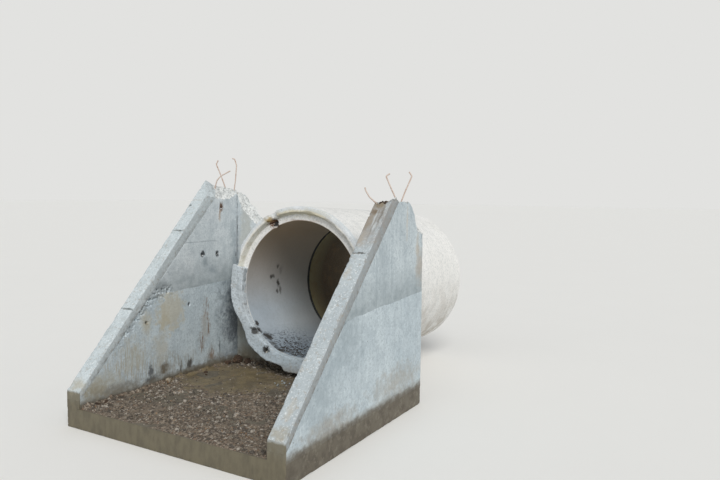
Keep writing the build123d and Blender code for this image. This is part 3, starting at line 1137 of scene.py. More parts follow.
@dataclass
class CastPiece:
    """A solid of cast concrete, worn at its arrises and rough where it is broken."""

    node: str
    finish: Material
    slot: str = "cast_concrete"
    arris: float = 0.004
    joint_arris: float = 0.0012
    arris_angle: float = math.radians(25)
    joint_reach: float = 0.004
    pitch: float = 0.028
    fine_pitch: float = 0.009
    chip_depth: float = 0.008
    roughness: float = 0.013
    grit: float = 0.0028
    waviness: float = 0.0008
    lift_waves: tuple[float, float] = (0.009, 0.004)
    break_level: float = 1.0
    break_rise: float = 0.2
    side_cosine: float = 0.97
    top_reach: float = 0.009
    underside_reach: float = 0.0005
    stone_field: float = 6.5e-4
    stone_share: float = 0.28
    stone_sizes: tuple[float, float] = (0.004, 0.0095)
    is_wing: bool = False

    @property
    def name(self) -> str:
        """The name of the shown piece."""
        return f"worn_{self.node}"

    def mark_broken(self, bm: Mesh) -> list[bmesh.types.BMFace]:
        """Finds the faces of the fracture: they look up, and lie on neither plane of the coping.

        Args:
            bm: The mesh.

        Returns:
            The faces.
        """
        bm.normal_update()
        found = []
        for face in bm.faces:
            is_side = abs(face.normal.x) > self.side_cosine
            is_low = face.calc_center_median().z < self.break_level
            if face.normal.z < self.break_rise or is_side or is_low:
                continue
            tops = [abs(v.co.z - slope_height(v.co.y)) for v in face.verts]
            feet = [abs(v.co.z - underside_height(v.co.y)) for v in face.verts]
            if self.is_wing and (max(tops) < self.top_reach or max(feet) < self.underside_reach):
                continue
            face.material_index = Skin.BROKEN.value
            found.append(face)
        return found

    def soften(self, bm: Mesh) -> None:
        """Rounds the arrises that the forms gave.

        Args:
            bm: The mesh.
        """
        edges = [
            e
            for e in bm.edges
            if e.calc_face_angle(0.0) > self.arris_angle
            and all(f.material_index == Skin.FORMED.value for f in e.link_faces)
        ]
        tight = [e for e in edges if self.is_joint(e)]
        open_edges = [e for e in edges if e not in tight]
        for chosen, size, skin in (
            (open_edges, self.arris, Skin.ARRIS),
            (tight, self.joint_arris, Skin.FORMED),
        ):
            made = bmesh.ops.bevel(
                bm,
                geom=[e for e in chosen if e.is_valid],
                offset=size,
                affect="EDGES",
                segments=2,
                profile=0.5,
                material=-1,
                clamp_overlap=True,
            )
            for face in made["faces"]:
                face.material_index = skin.value

    def is_joint(self, edge: bmesh.types.BMEdge) -> bool:
        """Whether an edge lies on a joint against another piece, where the arris is tight.

        Args:
            edge: The edge.

        Returns:
            True where both its ends do.
        """
        return all(
            min(abs(p.z - joint_height(p.y)), abs(p.z - underside_height(p.y)), abs(p.z - SLAB_TOP))
            < self.joint_reach
            for p in [v.co for v in edge.verts]
        )

    def shift(self, point: Vector) -> Vector:
        """How far the forms of a wing let a point inside its outline wander.

        Args:
            point: The point.

        Returns:
            The upright shift.
        """
        if not self.is_wing:
            return Vector()
        under_top = (slope_height(point.y) - point.z) * math.cos(SLOPE)
        weight = ease(0.006, 0.045, under_top) * ease(0.0, 0.06, point.z - SLAB_TOP)
        along = Vector((point.x * 3, point.y * 9, point.z * 9))
        broad, fine = self.lift_waves
        wave = noise.noise(along) * broad + noise.noise(along * 3.1) * fine
        return Vector((0.0, 0.0, wave * weight))

    def wear(self, bm: Mesh) -> None:
        """Chips the arrises, roughens the break and lets the formed faces wave a little.

        Args:
            bm: The mesh.
        """
        bm.normal_update()
        moves = []
        for vert in bm.verts:
            skins = {face.material_index for face in vert.link_faces}
            point = vert.co
            move = self.shift(point)
            if Skin.BROKEN.value in skins:
                rough = roughness_at(point, 0.045) * self.roughness
                rough += noise.noise(point * 130) * self.grit
                move += Vector((0.0, 0.0, rough))
            elif Skin.ARRIS.value in skins:
                chips = max(0.0, roughness_at(point, 0.10, 4.0) - 0.10) * 1.2
                notches = max(0.0, noise.noise(point * 30 + Vector((9, 2, 5))) - 0.28) * 2.6
                nibbles = abs(noise.noise(point * 90)) * 0.18
                move -= vert.normal * min(1.0, chips + notches + nibbles) * self.chip_depth
            else:
                move += vert.normal * noise.noise(point * 5) * self.waviness
            moves.append((vert, move))
        for vert, move in moves:
            vert.co += move
            vert.co.z = max(0.0, vert.co.z)
        for face in bm.faces:
            if face.material_index == Skin.ARRIS.value:
                face.material_index = Skin.FORMED.value

    def rough_places(self, bm: Mesh) -> None:
        """Work of a kind of piece between the cuts and the wear: none here."""

    def stone_spots(self, bm: Mesh, rng: random.Random) -> list[tuple[Vector, Vector]]:
        """Places of bare stones on the break.

        The bevels leave the faces in an order of their own each run, so they are put in the order of
        their corners first.

        Args:
            bm: The mesh.
            rng: The source of chance.

        Returns:
            A point and its outward direction for each stone.
        """
        bm.normal_update()
        broken = [f for f in bm.faces if f.material_index == Skin.BROKEN.value]
        broken.sort(key=lambda face: sorted(tuple(vert.co) for vert in face.verts))
        return [
            (face.calc_center_median(), face.normal.copy())
            for face in broken
            if rng.random() < face.calc_area() / self.stone_field * self.stone_share
        ]

    def build(self, broken_finish: Material, stones: Mesh, rng: random.Random) -> None:
        """Builds the piece and its bare stones.

        Args:
            broken_finish: The material of the break.
            stones: The mesh that takes the stones.
            rng: The source of chance.
        """
        bm = take_copy(self.node)
        broken = self.mark_broken(bm)
        self.soften(bm)
        for axis in range(3):
            score(bm, axis, self.pitch)
        if broken:
            for axis in (0, 1):
                rough = [f for f in bm.faces if f.material_index == Skin.BROKEN.value]
                score(bm, axis, self.fine_pitch, rough)
        for axis in range(3):
            worn = [f for f in bm.faces if f.material_index == Skin.ARRIS.value]
            score(bm, axis, self.fine_pitch, worn)
        self.rough_places(bm)
        self.wear(bm)
        scatter_stones(stones, self.stone_spots(bm, rng), self.stone_sizes, rng)
        show(bm, self.name, [self.finish, broken_finish], (self.node,))


@dataclass
class HoneycombedPiece(CastPiece):
    """A piece of a wing with honeycombing along its cold joint, where the paste leaked away."""

    is_wing: bool = True
    face_reach: float = 0.003
    comb_span: tuple[float, float] = (-1.42, -0.80)
    comb_fade: float = 0.08
    comb_step: float = -1.06
    comb_rise: float = 0.010
    comb_drop: float = 0.035
    comb_reach: float = 0.060
    comb_pitch: float = 0.007
    pit_size: float = 0.024
    pit_depth: float = 0.022
    hole_depth: float = 0.010
    holes: tuple[Place, ...] = (
        (-0.467, 1.216, 0.029),
        (-0.276, 1.212, 0.027),
        (-0.642, 0.788, 0.019),
        (-1.124, 0.700, 0.021),
        (-0.218, 1.639, 0.028),
    )

    def is_inner(self, point: Vector) -> bool:
        """Whether a point lies on the inner face."""
        return abs(abs(point.x) - WALL_FACE) <= self.face_reach

    def comb(self, point: Vector) -> float:
        """Share of the honeycombing at a point of the inner face.

        Args:
            point: The point.

        Returns:
            1 in the middle of the band, 0 at its edge and beyond.
        """
        if not self.is_inner(point):
            return 0.0
        rise = self.comb_rise if point.y > self.comb_step else -self.comb_drop
        off = abs(point.z - (joint_height(point.y) + rise))
        start, stop = self.comb_span
        edge = ease(0.0, self.comb_fade, point.y - start) * ease(0.0, self.comb_fade, stop - point.y)
        return edge * (1 - ease(0.3 * self.comb_reach, self.comb_reach, off))

    def near_hole(self, point: Vector, margin: float) -> float:
        """Share of the spall round a hole of the form ties at a point of the inner face.

        Args:
            point: The point.
            margin: How much further than the spall it may be.

        Returns:
            1 in the middle of the spall, 0 at its ragged edge.
        """
        if not self.is_inner(point):
            return 0.0
        off = Vector((0.0, point.y, point.z))
        shares = [0.0]
        for y, z, radius in self.holes:
            away = (off - Vector((0.0, y, z))).length
            if away < radius * 1.3 + margin:
                reach = radius * (1 + 0.35 * noise.noise(point * 45)) + margin
                shares.append(1 - away / reach)
        return max(shares)

    def rough_places(self, bm: Mesh) -> None:
        """Cuts the honeycombed face finely and sinks its pits.

        Args:
            bm: The mesh.
        """
        for axis in (1, 2):
            centres = [(f, f.calc_center_median()) for f in bm.faces]
            near = [f for f, at in centres if self.comb(at) > 0.02 or self.near_hole(at, 0.03) > 0]
            score(bm, axis, self.comb_pitch, near)
        inward = 1.0 if next(iter(bm.verts)).co.x > 0 else -1.0
        for vert in bm.verts:
            vert.co.x += inward * self.hole_depth * self.near_hole(vert.co, 0.0)
        for vert in bm.verts:
            share = self.comb(vert.co)
            if share > 0.05:
                distance = noise.voronoi(vert.co / self.pit_size)[0][0]
                pit = max(0.0, 0.62 - distance) * 1.8
                keep = 1.0 if noise.noise(vert.co * 26 + Vector((3, 3, 3))) > -0.12 else 0.15
                vert.co.x += inward * pit * keep * share * self.pit_depth


@dataclass
class CopingPiece(CastPiece):
    """A length of the coping, whose long top arrises are chamfered and chipped."""

    arris: float = 0.0014
    is_wing: bool = True

    def is_joint(self, edge: bmesh.types.BMEdge) -> bool:
        """Every edge that the chamfers leave is tight."""
        return True

    def soften(self, bm: Mesh) -> None:
        """Rounds the edges a little, and takes the chamfers as the worn arrises.

        Args:
            bm: The mesh.
        """
        for face in bm.faces:
            if 0.3 < abs(face.normal.x) < 0.95 and face.normal.z > 0.1:
                face.material_index = Skin.ARRIS.value
        super().soften(bm)


@dataclass
class WingWall:
    """One wing: its two lifts, three lengths of coping and stub of the back wall."""

    side: Side
    lower_finish: Material
    upper_finish: Material
    coping_finish: Material
    broken_finish: Material
    stone_finish: Material
    seed: int = 11

    def build(self) -> None:
        """Builds the pieces and the stones bare in their breaks."""
        rng = random.Random(self.seed + self.side.value)
        word = self.side.word
        stones = bmesh.new()
        pieces = [
            HoneycombedPiece(f"{word}_wing_lower_lift", self.lower_finish),
            HoneycombedPiece(f"{word}_wing_upper_lift", self.upper_finish),
            CastPiece(f"{word}_back_wall_stub", self.upper_finish),
        ]
        pieces += [
            CopingPiece(f"{word}_coping_{length}", self.coping_finish, "coping_concrete")
            for length in ("lower", "middle", "upper")
        ]
        for piece in pieces:
            piece.build(self.broken_finish, stones, rng)
        show(stones, f"{word}_bare_aggregate", [self.stone_finish], sharp_degrees=20.0)


@dataclass
class Footing:
    """The slab and the first lift of the back wall."""

    slab_finish: Material
    wall_finish: Material
    broken_finish: Material
    slab_pitch: float = 0.045
    seed: int = 5

    def build(self) -> None:
        """Builds the two pieces, neither of which is broken."""
        rng = random.Random(self.seed)
        spare = bmesh.new()
        slab = CastPiece("base_slab", self.slab_finish, pitch=self.slab_pitch)
        wall = CastPiece("back_wall_lower_lift", self.wall_finish)
        for piece in (slab, wall):
            piece.build(self.broken_finish, spare, rng)
        spare.free()


def rim_point(clock: float, radius: float, depth: float) -> Vector:
    """A point of the pipe.

    Args:
        clock: Degrees seen from the outlet, counterclockwise from the right-hand side.
        radius: The distance from the axis.
        depth: The distance behind the rim.

    Returns:
        The point in the frame of the part.
    """
    across = radius * math.cos(math.radians(clock))
    up = radius * math.sin(math.radians(clock))
    sin, cos = math.sin(PIPE_FALL), math.cos(PIPE_FALL)
    return Vector(RIM_CENTRE) + Vector((across, up * sin + depth * cos, up * cos - depth * sin))


def table_at(table: Table, at: float) -> float:
    """Value of a table at a clock angle.

    Args:
        table: Rising clock angles and the size at each.
        at: The clock angle.

    Returns:
        The size there, 0 beyond the ends of the table.
    """
    if not table[0][0] <= at <= table[-1][0]:
        return 0.0
    for (a, low), (b, high) in zip(table, table[1:]):
        if at <= b:
            return low + (high - low) * (at - a) / (b - a)
    return 0.0


def spun_ring(
    section: list[tuple[float, float]],
    steps: int,
    worn: Callable[[float, float, float], tuple[float, float]],
    start: float = 0.0,
) -> Mesh:
    """Spins the section of a ring, wears it and lays it on the axis of the pipe.

    Args:
        section: The radius and depth of its points, in order.
        steps: The number of steps in a full turn.
        worn: Turns a point's clock angle, radius and depth into the radius and depth of the used ring.
        start: The distance behind the rim at which the ring starts.

    Returns:
        The mesh.
    """
    bm = bmesh.new()
    verts = [bm.verts.new((radius, 0.0, depth)) for radius, depth in section]
    edges = [bm.edges.new(pair) for pair in zip(verts, verts[1:] + verts[:1])]
    bmesh.ops.spin(
        bm,
        geom=verts + edges,
        cent=(0, 0, 0),
        axis=(0, 0, 1),
        angle=math.tau,
        steps=steps,
        use_merge=True,
        use_duplicate=False,
    )
    bmesh.ops.remove_doubles(bm, verts=bm.verts, dist=1e-5)
    for vert in bm.verts:
        clock = math.degrees(math.atan2(vert.co.y, vert.co.x)) % 360
        radius, depth = worn(clock, math.hypot(vert.co.x, vert.co.y), vert.co.z)
        vert.co = rim_point(clock, radius, depth + start)
    bmesh.ops.recalc_face_normals(bm, faces=bm.faces)
    return bm


@dataclass
class PipeSection:
    """A precast pipe with a groove in its front end and a tongue at its rear end."""

    node: str
    finish: Material
    start: float = 0.0
    bore: float = 0.600
    outside: float = 0.725
    groove_mouth: float = 0.675
    groove_root: float = 0.655
    groove_depth: float = 0.050
    length: float = 1.050
    tongue_shift: float = 0.006
    steps: int = 360
    chip: float = 0.006
    chip_reach: float = 0.02
    light_chip: float = 0.0015
    front_half: float = 0.5
    depths: tuple[float, ...] = (
        *(0.0, 0.004, 0.010, 0.018, 0.028, 0.040, 0.055, 0.075),
        *(0.11, 0.16, 0.24, 0.36, 0.5, 0.65, 0.8, 0.92),
    )
    lip_shares: tuple[float, ...] = (0.0, 0.08, 0.22, 0.42, 0.62, 0.80, 0.92)
    root_shares: tuple[float, ...] = (0.05, 0.2, 0.4, 0.6, 0.8, 1.0)
    flank_shares: tuple[float, ...] = (0.2, 0.4, 0.6, 0.8, 0.93)

    def profile(self) -> list[tuple[float, float]]:
        """Points of the wall's section, round the whole of it.

        Returns:
            Their radius and depth.
        """
        shoulder = self.length - self.groove_depth
        mouth, root = self.groove_mouth, self.groove_root
        return [
            *[(mouth + (self.outside - mouth) * t, 0.0) for t in self.lip_shares],
            *[(self.outside, depth) for depth in self.depths],
            (self.outside, shoulder),
            (mouth + self.tongue_shift + 0.02, shoulder),
            (mouth + self.tongue_shift, shoulder),
            (mouth + self.tongue_shift - 0.01, shoulder + 0.025),
            (root + self.tongue_shift, self.length),
            (self.bore + 0.03, self.length),
            (self.bore, self.length),
            *[(self.bore, depth) for depth in reversed(self.depths) if depth > self.groove_depth],
            (self.bore, self.groove_depth + 0.002),
            *[(self.bore + (root - self.bore) * t, self.groove_depth) for t in self.root_shares],
            *[(root + (mouth - root) * t, self.groove_depth * (1 - t)) for t in self.flank_shares],
        ]

    def worn(self, clock: float, radius: float, depth: float) -> tuple[float, float]:
        """Where a point of the wall lies on this pipe.

        Args:
            clock: Its clock angle.
            radius: Its distance from the axis on a new pipe.
            depth: Its depth behind the rim on a new pipe.

        Returns:
            Its radius and depth.
        """
        around = Vector((math.cos(math.radians(clock)), math.sin(math.radians(clock)), self.start))
        middle = (self.bore + self.outside) / 2
        for edge_radius, edge_depth in (
            (self.outside, 0.0),
            (self.groove_mouth, 0.0),
            (self.bore, self.groove_depth),
            (self.bore, self.length),
            (self.outside, self.length - self.groove_depth),
        ):
            near = math.hypot(radius - edge_radius, depth - edge_depth)
            if near < self.chip_reach:
                is_front = edge_depth < self.front_half
                here = around + Vector((0, 0, edge_radius * 7 + edge_depth * 3))
                chip = 0.25 + 2.0 * max(0.0, roughness_at(here, 0.12) - 0.1)
                size = self.chip if is_front and edge_radius > self.bore else self.light_chip
                chip = min(1.3, chip) * size * (1 - near / self.chip_reach) ** 2
                is_mouth = edge_radius == self.groove_mouth
                radius += chip if is_mouth else math.copysign(chip, middle - edge_radius)
                depth += chip if is_front else -chip
        unevenness = noise.noise(around * 2.5 + Vector((0, 0, depth * 2))) * 0.0012
        return radius + unevenness, depth

    def build(self) -> None:
        """Spins the section, wears it and sets it on its bed."""
        bm = spun_ring(self.profile(), self.steps, self.worn, self.start)
        show(bm, f"spun_{self.node}", [self.finish], (self.node,))


@dataclass
class OutletSection(PipeSection):
    """The pipe at the outlet, with its spalled and broken rim."""

    chip: float = 0.007
    spall_run: float = 0.070
    spalls: tuple[Table, ...] = (
        ((151, 0.0), (157, 0.033), (163, 0.042), (166.2, 0.040), (166.9, 0.0)),
        ((203, 0.0), (207, 0.022), (213, 0.025), (220, 0.021), (223, 0.0)),
        ((249, 0.0), (252, 0.018), (259, 0.021), (262, 0.0)),
    )
    lip_break: Table = (
        (110.6, 0.0), (111.3, 0.030), (113.0, 0.048), (116.5, 0.052), (118.6, 0.040), (119.6, 0.0),
    )
    pit_clock: float = 117.8
    pit_radius: float = 0.640
    pit_reach: float = 0.048
    pit_depth: float = 0.055
    pit_limit: float = 0.06

    def worn(self, clock: float, radius: float, depth: float) -> tuple[float, float]:
        """Where a point of the wall lies on this pipe, with its spalls and the hole in its rim.

        Args:
            clock: Its clock angle.
            radius: Its distance from the axis on a new pipe.
            depth: Its depth behind the rim on a new pipe.

        Returns:
            Its radius and depth.
        """
        new_depth = depth
        radius, depth = super().worn(clock, radius, depth)
        ragged = roughness_at(Vector((clock * 0.35, radius * 40, depth * 40)), 1.0)
        for spall in self.spalls:
            lost = table_at(spall, clock)
            if lost > 0 and new_depth < self.spall_run:
                left = self.outside - lost * (1 - new_depth / self.spall_run) + 0.003 * ragged
                radius = min(radius, left)
        broken = table_at(self.lip_break, clock + 0.6 * ragged)
        if broken > 0 and radius > self.groove_root - 0.002:
            depth = max(depth, broken + 0.006 * ragged)
        across = math.radians(clock - self.pit_clock) * self.pit_radius
        off = math.hypot(across, radius - self.pit_radius) / self.pit_reach + 0.2 * ragged
        if off < 1 and new_depth < self.pit_limit:
            depth += self.pit_depth * (1 - off * off)
        return radius, depth


def kneaded(bm: Mesh, grain: float) -> Mesh:
    """Makes one even mesh of a closed solid, with its arrises rounded.

    Args:
        bm: The solid, which is freed.
        grain: The size of the new faces.

    Returns:
        The new mesh.
    """
    mesh = bpy.data.meshes.new("kneaded")
    bm.to_mesh(mesh)
    bm.free()
    holder = bpy.data.objects.new("kneaded", mesh)
    bpy.context.scene.collection.objects.link(holder)
    knead = holder.modifiers.new("knead", "REMESH")
    knead.mode = "VOXEL"
    knead.voxel_size = grain
    shape = bpy.data.meshes.new_from_object(holder.evaluated_get(bpy.context.evaluated_depsgraph_get()))
    bpy.data.objects.remove(holder)
    result = bmesh.new()
    result.from_mesh(shape)
    bpy.data.meshes.remove(shape)
    bpy.data.meshes.remove(mesh)
    return result


@dataclass
class RimMortar:
    """Mortar smeared over the lower left of the outlet rim."""

    finish: Material
    node: str = "rim_groove_mortar"
    grain: float = 0.0055
    lumps: float = 0.0035
    grit: float = 0.0022

    def build(self) -> None:
        """Kneads the CAD solid into a lumpy band."""
        bm = kneaded(take_copy(self.node), self.grain)
        bmesh.ops.smooth_vert(
            bm, verts=bm.verts, factor=0.5, use_axis_x=True, use_axis_y=True, use_axis_z=True
        )
        bm.normal_update()
        for vert in bm.verts:
            lump = roughness_at(vert.co, 0.05) * self.lumps + noise.noise(vert.co * 110) * self.grit
            vert.co += vert.normal * lump
        show(bm, "smeared_rim_mortar", [self.finish], (self.node,), sharp_degrees=60.0)


@dataclass
class JointMortar:
    """Ring of mortar pointed into the outer gap between the two pipes."""

    finish: Material
    node: str = "pipe_joint_mortar"
    inside: float = 0.681
    outside: float = 0.725
    start: float = 1.000
    stop: float = 1.025
    steps: int = 300
    seen_from: float = 0.7

    def section(self) -> list[tuple[float, float]]:
        """Points of the ring's section, which bulges a little past the pipes.

        Returns:
            Their radius and depth.
        """
        return [
            (self.inside, self.start),
            (self.outside - 0.004, self.start + 0.001),
            (self.outside + 0.001, self.start + 0.005),
            (self.outside + 0.003, (self.start + self.stop) / 2),
            (self.outside + 0.001, self.stop - 0.005),
            (self.outside - 0.004, self.stop - 0.001),
            (self.inside - 0.010, self.stop),
        ]

    def worn(self, clock: float, radius: float, depth: float) -> tuple[float, float]:
        """Where a point of the ring lies, uneven where it was pointed by hand.

        Args:
            clock: Its clock angle.
            radius: Its distance from the axis on an even ring.
            depth: Its depth behind the rim on an even ring.

        Returns:
            Its radius and depth.
        """
        if radius > self.seen_from:
            around = Vector((math.cos(math.radians(clock)), math.sin(math.radians(clock)), depth * 4))
            radius += roughness_at(around, 0.09) * 0.0035 - 0.002
            depth += roughness_at(around, 0.12, 3.0) * 0.002
        return radius, depth

    def build(self) -> None:
        """Spins the ring and makes it uneven."""
        bm = spun_ring(self.section(), self.steps, self.worn)
        show(bm, "pointed_joint_mortar", [self.finish], (self.node,), sharp_degrees=50.0)


@dataclass
class Silt:
    """Crumbs of mud that the water left on the invert and in the broken rim."""

    finish: Material
    crumbs: int = 260
    bore: float = 0.600
    bed_clock: float = 257
    bed_spread: float = 11
    heaps: tuple[tuple[float, float, int], ...] = (
        (216.5, 0.076, 5),
        (221.8, 0.030, 5),
        (231.0, 0.107, 9),
        (233.5, 0.125, 6),
        (250.9, 0.069, 7),
    )
    crumb_sizes: tuple[float, float] = (0.0035, 0.0115)
    lodged: int = 16
    lodged_clock: float = 117.5
    lodged_radii: tuple[float, float] = (0.622, 0.655)
    lodged_depth: float = 0.082
    lodged_sizes: tuple[float, float] = (0.006, 0.013)
    seed: int = 29

    def build(self) -> None:
        """Strews the crumbs."""
        rng = random.Random(self.seed)
        bm = bmesh.new()
        places = []
        while len(places) < self.crumbs:
            clock = rng.gauss(self.bed_clock, self.bed_spread)
            depth = 0.08 + abs(rng.gauss(0, 0.20))
            if roughness_at(Vector((clock / 30, depth * 2.2, 4.0)), 0.35) > -0.05:
                places.append((clock, depth))
        for clock, depth, number in self.heaps:
            for _ in range(number):
                places.append((rng.gauss(clock, 0.9), max(0.056, rng.gauss(depth, 0.012))))
        spots = []
        for clock, depth in places:
            inward = rim_point(clock, 0.0, depth) - rim_point(clock, self.bore, depth)
            spots.append((rim_point(clock, self.bore, depth), inward.normalized()))
        scatter_stones(bm, spots, self.crumb_sizes, rng, sunk=0.25)
        hollow = []
        for _ in range(self.lodged):
            clock = rng.gauss(self.lodged_clock, 1.6)
            place = rim_point(clock, rng.uniform(*self.lodged_radii), self.lodged_depth)
            hollow.append((place, Vector(FORWARD)))
        scatter_stones(bm, hollow, self.lodged_sizes, rng, sunk=0.2)
        show(bm, "dried_mud_crumbs", [self.finish], sharp_degrees=70.0)


@dataclass
class MudBed:
    """Silt and gravel that lie on the slab between the wings."""

    silt_finish: Material
    gravel_finish: Material
    half_width: float = WALL_FACE - 0.001
    front: float = -1.764
    back: float = -0.002
    cells: int = 200
    thickness: float = 0.008
    bedding: float = 0.004
    fillet: float = 0.022
    puddle: tuple[float, float] = (-0.45, -0.55)
    puddle_reach: tuple[float, float] = (0.55, 0.40)
    stones: int = 3600
    fine_share: float = 0.88
    fine_sizes: tuple[float, float] = (0.004, 0.011)
    coarse_sizes: tuple[float, float] = (0.011, 0.026)
    lying: tuple[Place, ...] = (
        (-0.842, -0.935, 0.034),
        (-0.030, -0.400, 0.014),
        (0.020, -0.440, 0.011),
        (0.010, -0.520, 0.017),
        (-0.050, -0.480, 0.010),
    )
    lying_rise: float = 0.010
    seed: int = 43

    def dryness(self, x: float, y: float) -> float:
        """How far a place lies from where water stood.

        Args:
            x: Where it lies across the slab.
            y: Where it lies along the slab.

        Returns:
            0 in the puddle and 1 well away.
        """
        (middle_x, middle_y), (reach_x, reach_y) = self.puddle, self.puddle_reach
        off = Vector(((x - middle_x) / reach_x, (y - middle_y) / reach_y, 0.0)).length
        return ease(0.75, 1.15, off + 0.2 * roughness_at(Vector((x, y, 3.0)), 0.2))

    def level(self, x: float, y: float) -> float:
        """Height of the silt over the slab at a place.

        Args:
            x: Where it lies across the slab.
            y: Where it lies along the slab.

        Returns:
            The height, below 0 where the slab is bare.
        """
        point = Vector((x, y, 0.0))
        lumps = 0.002 + 0.006 * self.dryness(x, y)
        bed = self.thickness * (0.7 + 1.9 * roughness_at(point, 0.35))
        bed += lumps * roughness_at(point, 0.06, 5.0)
        side = max(0.0, 1 - (self.half_width - abs(x)) / 0.05)
        rear = max(0.0, 1 - (self.back - y) / 0.07)
        fillet = self.fillet * max(side, rear) ** 2 * (1 + roughness_at(point, 0.08, 9.0))
        front = ease(self.front - 0.005, self.front + 0.035, y + 0.012 * roughness_at(point, 0.12, 2.0))
        return (bed + fillet) * front - 0.002 * (1 - front)

    def lay_silt(self) -> None:
        """Lays the silt."""
        bm = bmesh.new()
        bmesh.ops.create_grid(bm, x_segments=self.cells, y_segments=self.cells, size=1.0)
        for vert in bm.verts:
            vert.co.x *= self.half_width
            vert.co.y = self.front + (self.back - self.front) * (vert.co.y + 1) / 2
            vert.co.z = SLAB_TOP - self.bedding
        raised = bmesh.ops.extrude_face_region(bm, geom=bm.faces[:])
        for part in raised["geom"]:
            if isinstance(part, bmesh.types.BMVert):
                part.co.z = SLAB_TOP + max(-0.002, self.level(part.co.x, part.co.y))
        bmesh.ops.recalc_face_normals(bm, faces=bm.faces)
        under = [f for f in bm.faces if f.normal.z < -0.99]
        bmesh.ops.dissolve_faces(bm, faces=under, use_verts=True)
        show(bm, "settled_silt", [self.silt_finish], sharp_degrees=80.0)

    def strew_gravel(self) -> None:
        """Strews the gravel on the silt, thinly where water stood."""
        rng = random.Random(self.seed)
        gravel = bmesh.new()
        spots = []
        while len(spots) < self.stones:
            x = rng.uniform(-self.half_width + 0.01, self.half_width - 0.01)
            y = rng.uniform(self.front + 0.02, self.back - 0.01)
            strewn = ease(-0.5, 0.2, roughness_at(Vector((x, y, 7.0)), 0.2))
            if rng.random() < 0.04 + 0.96 * self.dryness(x, y) * strewn:
                height = SLAB_TOP + max(0.0, self.level(x, y))
                spots.append((Vector((x, y, height)), Vector(UP)))
        fine = int(self.fine_share * self.stones)
        scatter_stones(gravel, spots[:fine], self.fine_sizes, rng, sunk=0.0)
        scatter_stones(gravel, spots[fine:], self.coarse_sizes, rng, sunk=0.15)
        for x, y, size in self.lying:
            spot = (Vector((x, y, SLAB_TOP + self.lying_rise)), Vector(UP))
            scatter_stones(gravel, [spot], (size, 1.06 * size), rng, sunk=-0.3)
        show(gravel, "loose_gravel", [self.gravel_finish], sharp_degrees=25.0)

    def build(self) -> None:
        """Lays the silt and strews the gravel on it."""
        self.lay_silt()
        self.strew_gravel()


@dataclass
class FallenEarth:
    """Clods of clayey earth lodged in corners and on the broken heads."""

    finish: Material
    clods: tuple[tuple[Place, float], ...] = (
        ((-0.800, -0.075, 0.196), 0.062),
        ((-0.700, -0.060, 0.178), 0.042),
        ((-0.845, -0.170, 0.172), 0.028),
        ((-0.850, -1.640, 0.168), 0.026),
        ((-0.845, -1.560, 0.162), 0.016),
        ((0.835, -0.080, 0.180), 0.044),
        ((-0.810, -0.520, 0.160), 0.015),
        ((-0.745, -0.570, 0.157), 0.012),
        ((-0.850, -0.450, 0.161), 0.014),
        ((0.950, -0.425, 1.700), 0.030),
        ((0.925, -0.395, 1.716), 0.022),
        ((0.975, -0.440, 1.712), 0.020),
        ((0.940, -0.350, 1.706), 0.016),
    )
    grain: float = 0.0035
    lumps: float = 0.016
    crumbling: float = 0.30
    seed: int = 61

    def build(self) -> None:
        """Kneads each clod out of a few lumps."""
        rng = random.Random(self.seed)
        loose = bmesh.new()
        for centre, size in self.clods:
            middle = Vector(centre)
            parts = [middle] + [
                middle + Vector([rng.uniform(-0.7, 0.7) * size for _ in range(2)] + [-0.35 * size])
                for _ in range(5)
            ]
            spots = [(part, Vector(UP)) for part in parts]
            scatter_stones(loose, spots, (0.45 * size, 0.75 * size), rng, sunk=0.0)
        bm = kneaded(loose, self.grain)
        bm.normal_update()
        for vert in bm.verts:
            lump = roughness_at(vert.co, 0.045) * self.lumps
            crumb = abs(roughness_at(vert.co, 0.014, 3.0)) * self.crumbling * self.lumps
            vert.co += vert.normal * (lump - crumb)
        show(bm, "fallen_earth", [self.finish], sharp_degrees=70.0)


